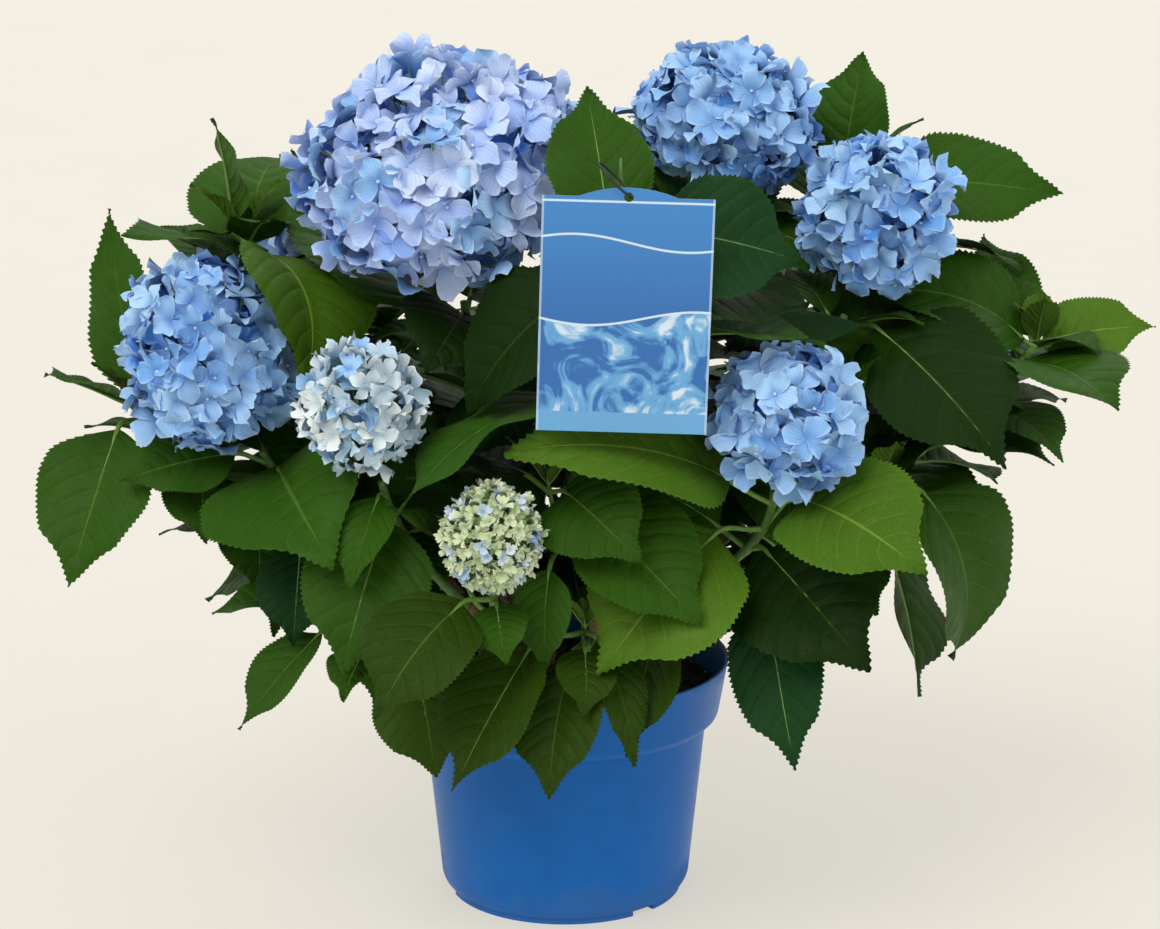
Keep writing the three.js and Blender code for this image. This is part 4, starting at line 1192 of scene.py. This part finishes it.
def dress_compost():
    """Crumbs of peat and bark, and a few white grains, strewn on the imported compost."""
    luck = np.random.default_rng(SEEDS["crumbs"])
    ball = Shape(small_ball())
    joined = Joined()
    for _ in range(CRUMB["count"]):
        radius = COMPOST["radius"] * math.sqrt(luck.uniform(0, 1))
        heading = luck.uniform(0, 2 * math.pi)
        larger = luck.uniform(0, 1) ** CRUMB["fewer_large"]
        size = CRUMB["smallest"] + (CRUMB["largest"] - CRUMB["smallest"]) * larger
        shape = ball.places * luck.uniform(*CRUMB["flat"], 3) * size * 0.5
        shape = shape * luck.uniform(*CRUMB["rough"], (len(shape), 1))
        spin = luck.uniform(0, CRUMB["spin"])
        tilt = np.array(Matrix.Rotation(spin, 3, Vector(luck.uniform(-1, 1, 3)).normalized()))
        radius = min(radius, COMPOST["radius"] - size)
        high = COMPOST["top"] + CRUMB["proud"] * size
        place = [radius * math.cos(heading), radius * math.sin(heading), high]
        tone = luck.uniform(0, 1)
        white = int(luck.uniform(0, 1) < CRUMB["grit"])
        joined.add(ball.faces, shape @ tilt.T + place, tone=tone, finish=white)
    joined.piece("compost_crumbs", "compost", ["compost", "grit"])
    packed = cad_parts["compost"].data.materials
    packed.clear()
    packed.append(FINISHES["compost"])


# Label and tie


def label_place():
    tilt = Matrix.Rotation(math.radians(-LABEL["tilt"]), 4, "Y")
    return Matrix.Translation(Vector(LABEL["at"]) * MM) @ tilt @ Matrix.Rotation(math.pi / 2, 4, "X")


def outline_curve(points_of_each, thickness):
    """A flat mesh of closed outlines, given a thickness and a fine rounded edge."""
    flat = bpy.data.curves.new("outline", "CURVE")
    flat.dimensions = "2D"
    flat.fill_mode = "BOTH"
    flat.bevel_depth = LABEL["edge"] * MM
    flat.bevel_resolution = 1
    flat.offset = -LABEL["edge"] * MM
    flat.extrude = (thickness / 2 - LABEL["edge"]) * MM
    for points in points_of_each:
        line = flat.splines.new("POLY")
        line.points.add(len(points) - 1)
        for spot, (x, y) in zip(line.points, points):
            spot.co = (x * MM, y * MM, 0, 1)
        line.use_cyclic_u = True
    return final_mesh(linked("outline", flat))


def dress_label():
    """A plastic card with flat shoulders, a domed middle and a hole, hung upright."""
    half, crown = LABEL["width"] / 2, LABEL["crown"]
    dome_half = half - LABEL["shoulder"]
    dome = (dome_half**2 + crown**2) / (2 * crown)
    sweep = math.asin(dome_half / dome)
    bends = np.linspace(sweep, -sweep, LABEL["arc_points"])
    arc = [(dome * math.sin(a), dome * math.cos(a) - dome) for a in bends]
    low = -crown - LABEL["height"]
    card = [(-half, -crown), (-half, low), (half, low), (half, -crown), *arc]
    turn = np.linspace(0, 2 * math.pi, LABEL["arc_points"])[:-1]
    hole = [(LABEL["hole"] * math.cos(a), LABEL["hole"] * math.sin(a) - LABEL["drop"]) for a in turn]
    mesh = outline_curve([card, hole], LABEL["thickness"])
    for old in list(mesh.uv_layers):
        mesh.uv_layers.remove(old)
    spots = mesh.uv_layers.new(name="spot")
    for loop in mesh.loops:
        x, y, _ = mesh.vertices[loop.vertex_index].co / MM
        spots.data[loop.index].uv = (x / LABEL["width"] + 0.5, 1 + y / (LABEL["height"] + crown))
    mesh.transform(label_place())
    sharpen(worn(mesh, "label_card", "label", ["label"], "label"))


def dress_tie():
    """An elastic loop through the label's hole and round the stem behind it."""
    threaded = label_place() @ Vector((0, (TIE["above"] - LABEL["drop"]) * MM, 0)) / MM
    behind = math.sqrt(TIE["radius"] ** 2 - TIE["reach"] ** 2)
    across = TIE["reach"] * math.sqrt(0.5)
    bm = bmesh.new()
    place = Matrix.Translation((TIE["radius"] * MM, 0, 0)) @ Matrix.Rotation(math.pi / 2, 4, "X")
    wire = bmesh.ops.create_circle(bm, segments=TIE["sides"], radius=TIE["wire"] * MM, matrix=place)
    turned_round(bm, wire["verts"] + bm.edges[:], TIE["turns"])
    centre = (threaded.x - across, threaded.y + behind, threaded.z + across)
    place = Matrix.Translation(Vector(centre) * MM) @ Matrix.Rotation(math.pi / 4, 4, "Y")
    bmesh.ops.transform(bm, matrix=place, verts=bm.verts)
    worn(mesh_of(bm, "tie_loop"), "tie_loop", "tie", ["tie"], "label_tie")


# Finishes


class Tree:
    """A short way to write the nodes of a material or a group."""

    def __init__(self, tree):
        self.tree = tree

    def node(self, kind, inputs=None, **settings):
        made = self.tree.nodes.new("ShaderNode" + kind)
        for key, value in settings.items():
            setattr(made, key, value)
        for key, value in (inputs or {}).items():
            self.feed(made.inputs[key], value)
        return made

    def feed(self, socket, value):
        if isinstance(value, bpy.types.NodeSocket):
            self.tree.links.new(value, socket)
        else:
            socket.default_value = value

    def sum(self, operation, *values):
        return self.node("Math", dict(enumerate(values)), operation=operation).outputs[0]

    def times(self, first, second):
        return self.sum("MULTIPLY", first, second)

    def scaled(self, value, factor, more):
        """The value times a factor, and more added to it."""
        return self.sum("MULTIPLY_ADD", value, factor, more)

    def apart(self, first, second):
        return self.sum("ABSOLUTE", self.sum("SUBTRACT", first, second))

    def off_middle(self, across):
        """How far from the middle line, from 0 to 1 at the edge."""
        return self.sum("ABSOLUTE", self.scaled(across, 2.0, -1.0))

    def blend(self, factor, low, high):
        return self.node("Mix", {0: factor, 6: low, 7: high}, data_type="RGBA").outputs[2]

    def window(self, value, start, stop, low=0.0, high=1.0):
        """From low to high as the value goes from start to stop."""
        inputs = {0: value, 1: start, 2: stop, 3: low, 4: high}
        return self.node("MapRange", inputs, interpolation_type="SMOOTHSTEP").outputs[0]

    def clouds(self, vector, scale, detail=3.0, **more):
        inputs = {"Vector": vector, "Scale": scale, "Detail": detail, **more}
        return self.node("TexNoise", inputs).outputs[0]

    def cells(self, vector, stretch, scale, feature="F1"):
        stretched = self.node("Mapping", {0: vector, 3: stretch}).outputs[0]
        return self.node("TexVoronoi", {"Vector": stretched, "Scale": scale}, feature=feature).outputs[0]

    def from_place(self, kind="Object"):
        return self.node("TexCoord").outputs[kind]

    def spot(self):
        """The place on the shape: across and along, each from 0 to 1."""
        return self.node("SeparateXYZ", {0: self.from_place("UV")}).outputs[:2]

    def tone(self):
        return self.node("Attribute", attribute_name="tone").outputs["Fac"]

    def placed(self, effect, values):
        """A group set in a material, with its own values."""
        return self.node("Group", values, node_tree=EFFECTS[effect]).outputs

    def grain(self, first, second, scale):
        return self.placed("grain", {"First": colour(first), "Second": colour(second), "Scale": scale})

    def bumped(self, height, depth):
        """The normal of a relief of the given depth in millimetres."""
        return self.node("Bump", {"Strength": 1.0, "Distance": depth * MM, "Height": height}).outputs[0]


def group(name, colours, numbers, outputs, write):
    """A shader node group that takes colours and numbers, its nodes put in by 'write'."""
    made = bpy.data.node_groups.new(name, "ShaderNodeTree")
    sockets = [(socket, "INPUT", "Color") for socket in colours]
    sockets += [(socket, "INPUT", "Float") for socket in numbers]
    sockets += [(socket, "OUTPUT", "Color" if socket == "Color" else "Float") for socket in outputs]
    for socket, way, kind in sockets:
        made.interface.new_socket(socket, in_out=way, socket_type="NodeSocket" + kind)
    tree = Tree(made)
    given = made.nodes.new("NodeGroupInput").outputs
    leads = made.nodes.new("NodeGroupOutput").inputs
    for socket, value in write(tree, given).items():
        tree.feed(leads[socket], value)
    return made


def leaf_face(tree, given):
    """Pale veins that run out from the midrib in arcs, a fine net between them, and mottled green."""
    across, along = tree.spot()
    off_rib = tree.off_middle(across)
    rib = tree.window(off_rib, *LEAF_FACE["rib"], 1.0, 0.0)
    reach = 1 - VEIN["longest"]
    off_longest = tree.scaled(along, 1 / reach, -VEIN["longest"] / reach)
    shorter = tree.scaled(tree.sum("POWER", tree.sum("ABSOLUTE", off_longest), 2.0), -1.0, 1.0)
    swept = tree.times(tree.times(tree.sum("POWER", off_rib, VEIN["bow"]), VEIN["sweep"]), shorter)
    beat = tree.sum("FRACT", tree.times(tree.sum("SUBTRACT", along, swept), VEIN["pairs"]))
    off_vein = tree.apart(beat, 0.5)
    on_vein, inside = tree.window(off_vein, *LEAF_FACE["vein"]), tree.window(off_rib, *LEAF_FACE["fade"])
    side_vein = tree.times(on_vein, inside)
    uv = tree.from_place("UV")
    net = tree.cells(uv, LEAF_FACE["net_stretch"], LEAF_FACE["net_scale"], "DISTANCE_TO_EDGE")
    netted = tree.window(net, *LEAF_FACE["net"], 1.0, 0.0)
    veined = tree.sum("MAXIMUM", rib, tree.times(side_vein, LEAF_FACE["side_vein"]))
    mottle = tree.clouds(tree.from_place(), LEAF_FACE["mottle"])
    shade = tree.scaled(tree.tone(), LEAF_FACE["tone"], tree.times(mottle, LEAF_FACE["luck"]))
    green = tree.blend(shade, given["Blade"], given["Deep"])
    green = tree.blend(tree.times(netted, LEAF_FACE["netted"]), green, given["Vein"])
    edge = tree.window(off_rib, *LEAF_FACE["edge"])
    green = tree.blend(tree.times(edge, LEAF_FACE["edge_share"]), green, given["Vein"])
    puff = tree.window(off_vein, *LEAF_FACE["puff"])
    height = tree.scaled(netted, LEAF_FACE["net_depth"], tree.times(puff, LEAF_FACE["puff_share"]))
    return {
        "Color": tree.blend(tree.times(veined, LEAF_FACE["veined"]), green, given["Vein"]),
        "Roughness": tree.window(mottle, *LEAF_FACE["rough_from"], *LEAF_FACE["rough"]),
        "Height": tree.scaled(veined, LEAF_FACE["vein_depth"], height),
    }


def petal_face(tree, given):
    """A petal's colour from its throat to its rim, with faint veins that fan out along it."""
    across, along = tree.spot()
    fan = tree.sum("FRACT", tree.times(across, PETAL_FACE["veins"]))
    vein = tree.window(tree.apart(fan, 0.5), *PETAL_FACE["vein"])
    body = tree.blend(tree.tone(), given["Light"], given["Deep"])
    throat = tree.window(along, *PETAL_FACE["throat"])
    body = tree.blend(tree.times(throat, PETAL_FACE["throat_share"]), body, given["Throat"])
    sides = tree.window(tree.off_middle(across), *PETAL_FACE["sides"])
    rim = tree.sum("MAXIMUM", sides, tree.window(along, *PETAL_FACE["end"]))
    body = tree.blend(tree.times(rim, PETAL_FACE["rim_share"]), body, given["Rim"])
    grain = tree.clouds(tree.from_place(), PETAL_FACE["grain"])
    return {
        "Color": tree.blend(tree.times(vein, PETAL_FACE["vein_share"]), body, given["Deep"]),
        "Height": tree.scaled(vein, PETAL_FACE["vein_depth"], grain),
    }


def grained(tree, given):
    """Two colours mottled at a coarse and a fine scale."""
    coarse = tree.clouds(tree.from_place(), given["Scale"], 5.0)
    fine = tree.clouds(tree.from_place(), tree.times(given["Scale"], GRAIN["finer"]), 2.0)
    mottle = tree.scaled(fine, GRAIN["fine_share"], tree.times(coarse, GRAIN["coarse_share"]))
    mask = tree.window(mottle, *GRAIN["mask"])
    return {"Color": tree.blend(mask, given["First"], given["Second"]), "Mask": mask, "Height": mottle}


def specked(tree, given):
    """Small long specks, such as the pores of a green stem."""
    cells = tree.cells(tree.from_place(), SPECK["stretch"], given["Scale"])
    return {"Color": tree.blend(tree.window(cells, *SPECK["size"]), given["Ground"], given["Speck"])}


def splashed(tree, given):
    """Dried soil, thick at the pot's foot and under its rim, thin in between."""
    high = tree.node("SeparateXYZ", {0: tree.from_place()}).outputs[2]
    foot = tree.window(high, *SOIL["foot"])
    rim = tree.window(high, *SOIL["rim"])
    dirt = tree.clouds(tree.from_place(), SOIL["scale"], SOIL["detail"])
    near = tree.sum("MAXIMUM", foot, tree.times(rim, SOIL["rim_share"]))
    mask = tree.window(tree.scaled(near, SOIL["near"], dirt), *SOIL["mask"])
    cover = tree.times(mask, SOIL["cover"])
    return {"Color": tree.blend(cover, given["Color"], given["Soil"]), "Mask": mask}


def printed(tree, given):
    """A plain card: shaded blue between pale bands, over a marbled panel and a paler strip."""
    across, up = tree.spot()
    x = tree.times(across, LABEL["width"])
    y = tree.times(up, LABEL["height"] + LABEL["crown"])

    def band(base, rise, turn):
        """A pale wave across the card, and how far above it a place is."""
        wave = tree.sum("SINE", tree.scaled(x, CARD["beat"], turn))
        off = tree.sum("SUBTRACT", y, tree.scaled(wave, rise, base))
        stroke = CARD["stroke"]
        return tree.window(tree.sum("ABSOLUTE", off), stroke, stroke * CARD["feather"]), off

    seam, strip = CARD["seam"], CARD["strip"]
    marbled = tree.clouds(tree.from_place(), CARD["swirls"], 4.0, Distortion=CARD["twist"])
    panel = tree.blend(tree.window(marbled, *CARD["deep"]), given["Deep"], given["Ground"])
    panel = tree.blend(tree.window(marbled, *CARD["pale"]), panel, given["Pale"])
    top_band, _ = band(CARD["top"], CARD["rise"], CARD["phases"][0])
    low_band, below = band(CARD["middle"], -CARD["rise"], CARD["phases"][1])
    body = tree.blend(tree.window(up, *CARD["shade"]), given["Deep"], given["Field"])
    body = tree.blend(tree.window(below, seam, -seam), body, panel)
    body = tree.blend(tree.window(y, strip + seam, strip - seam), body, given["Ground"])
    top_line = tree.window(tree.apart(y, CARD["line"]), *CARD["line_stroke"])
    pale_part = tree.sum("MAXIMUM", tree.sum("MAXIMUM", top_band, low_band), top_line)
    body = tree.blend(pale_part, body, given["Pale"])
    inset = tree.sum("MINIMUM", x, tree.sum("SUBTRACT", LABEL["width"], x))
    border = tree.window(inset, *CARD["border"])
    return {"Color": tree.blend(tree.times(border, CARD["border_share"]), body, given["Pale"])}


EFFECTS = {
    "leaf": group("leaf_face", ("Blade", "Deep", "Vein"), (), ("Color", "Roughness", "Height"), leaf_face),
    "petal": group("petal_face", ("Light", "Deep", "Throat", "Rim"), (), ("Color", "Height"), petal_face),
    "grain": group("grain", ("First", "Second"), ("Scale",), ("Color", "Mask", "Height"), grained),
    "specks": group("specks", ("Ground", "Speck"), ("Scale",), ("Color",), specked),
    "soil": group("soil_splash", ("Color", "Soil"), (), ("Color", "Mask"), splashed),
    "card": group("card_print", ("Field", "Deep", "Pale", "Ground"), (), ("Color",), printed),
}


def finish(name, write, **constants):
    """A material whose Principled BSDF takes its constants and what 'write' leads to it."""
    material = bpy.data.materials.new(name)
    material.use_nodes = True
    tree = Tree(material.node_tree)
    shader = material.node_tree.nodes["Principled BSDF"]
    for socket, value in constants.items():
        shader.inputs[socket.replace("_", " ")].default_value = value
    for socket, value in write(tree).items():
        tree.feed(shader.inputs[socket], value)
    return material


def leaf_finish(name, blade_code, deep_code, vein_code, under_code):
    def write(tree):
        codes = {"Blade": blade_code, "Deep": deep_code, "Vein": vein_code}
        face = tree.placed("leaf", {socket: colour(code) for socket, code in codes.items()})
        under = tree.node("NewGeometry").outputs["Backfacing"]
        paler = tree.blend(LEAF_FACE["underside"], face["Color"], colour(under_code))
        base = tree.blend(under, face["Color"], paler)
        normal = tree.bumped(face["Height"], LEAF_FACE["relief"])
        return {"Base Color": base, "Roughness": face["Roughness"], "Normal": normal}

    return finish(name, write, Specular_IOR_Level=0.1)


def petal_finish(name, codes):
    def write(tree):
        face = tree.placed("petal", dict(zip(("Light", "Deep", "Throat", "Rim"), map(colour, codes))))
        return {"Base Color": face["Color"], "Normal": tree.bumped(face["Height"], PETAL_FACE["relief"])}

    return finish(name, write, Roughness=0.62, Specular_IOR_Level=0.25, Sheen_Weight=0.12)


def grain_finish(name, first, second, scale, roughness, depth, **constants):
    def write(tree):
        grain = tree.grain(first, second, scale)
        return {"Base Color": grain["Color"], "Normal": tree.bumped(grain["Height"], depth)}

    return finish(name, write, Roughness=roughness, **constants)


def stem_finish(name, ground, second, speck, scale):
    def write(tree):
        grain = tree.grain(ground, second, STEM_FACE["scale"])
        specks = tree.placed("specks", {"Ground": grain["Color"], "Speck": colour(speck), "Scale": scale})
        return {"Base Color": specks["Color"], "Normal": tree.bumped(grain["Height"], STEM_FACE["relief"])}

    return finish(name, write, Roughness=STEM_FACE["roughness"])


def pot_plastic(tree):
    """Smooth plastic, duller where soil has dried on it."""
    grain = tree.grain(*POT_FACE["tints"], POT_FACE["scale"])
    soil = tree.placed("soil", {"Color": grain["Color"], "Soil": colour(POT_FACE["soil"])})
    soiled = tree.scaled(soil["Mask"], POT_FACE["soil_rough"], POT_FACE["smooth"])
    rough = tree.scaled(grain["Mask"], POT_FACE["grain_rough"], soiled)
    normal = tree.bumped(grain["Height"], POT_FACE["relief"])
    return {"Base Color": soil["Color"], "Roughness": rough, "Normal": normal}


def card_plastic(tree):
    """The card's colours under a hint of grain."""
    fields = ("Field", "Deep", "Pale", "Ground")
    card = tree.placed("card", {socket: colour(CARD_FACE[socket]) for socket in fields})
    grain = tree.grain("ffffff", "ffffff", CARD_FACE["scale"])
    rough = tree.scaled(grain["Mask"], CARD_FACE["grain_rough"], CARD_FACE["smooth"])
    normal = tree.bumped(grain["Height"], CARD_FACE["relief"])
    return {"Base Color": card["Color"], "Roughness": rough, "Normal": normal}


def floor_finish():
    """A pale floor with a painted glow, a faint emission that keeps the shadows on it light."""
    glow = {"Emission_Color": colour(FLOOR["glow_tint"]), "Emission_Strength": FLOOR["glow"]}
    return grain_finish("floor", *FLOOR["tints"], 2.0, 0.9, 0.01, **glow)


# The blade, its deeper parts, the veins and the underside of each green
# The lightest and the deep greens are partly lit and shaded copies of one green, painted light and painted
# shade on set leaves; young leaves are light green of their own
LEAF_CODES = {
    "fresh_and_lit": ("4b7019", "3b5f10", "7d9b36", "648236"),
    "mid": ("2f570d", "224408", "52772a", "446428"),
    "deep": ("142f02", "0e2202", "2c4a14", "2a4818"),
    "olive": ("2b4504", "203603", "4e6d24", "40591e"),
    "teal": ("16401a", "103212", "38663a", "345838"),
}
# A petal's light and deep colour, which carry its own tone and the painted light and shade of a head, its
# throat and its rim
PETAL_CODES = {
    "lavender": ("cedffe", "78a8f4", "72a0ea", "e2edff"),
    "blue": ("b0d8fc", "5298e6", "4888d6", "c8e2fc"),
    "pale": ("f0f7f6", "90c4ea", "b4d8ea", "f8fcfb"),
    "green": ("e8f0d2", "aeca8c", "a6c27c", "f1f5e2"),
}
FINISHES = {
    **{"leaf_" + tint: leaf_finish("leaf_" + tint, *codes) for tint, codes in LEAF_CODES.items()},
    **{"petal_" + tint: petal_finish("petal_" + tint, codes) for tint, codes in PETAL_CODES.items()},
    "stem": stem_finish("stem", "5c8a3a", "466f2c", "6b4a30", 260.0),
    "stalk": stem_finish("stalk", "7da64c", "648f3c", "6b5a34", 420.0),
    "eye": grain_finish("floret_eye", "dfe9f4", "9fc0e2", 220.0, 0.5, 0.1),
    "bark": grain_finish("bark", "8a7656", "5a4a34", 70.0, 0.85, 1.2),
    "compost": grain_finish("compost", "2b1d13", "4a3524", 90.0, 0.95, 1.0),
    "grit": grain_finish("grit", "e4e0d6", "c8c2b4", 200.0, 0.9, 0.3),
    "pot": finish("pot_plastic", pot_plastic, Specular_IOR_Level=0.2),
    "label": finish("card_plastic", card_plastic, Coat_Weight=0.2),
    "tie": grain_finish("tie_rubber", "18231f", "0f1613", 300.0, 0.55, 0.1),
}

camera()
studio()
plant = grow_plant()
dress_boughs()
dress_stems(plant)
dress_leaves(plant)
dress_blooms()
dress_pot()
dress_compost()
dress_label()
dress_tie()

boxes = {"cad": cad_box, "visual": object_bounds()}
{name: [list(corner) for corner in box] for name, box in boxes.items()}
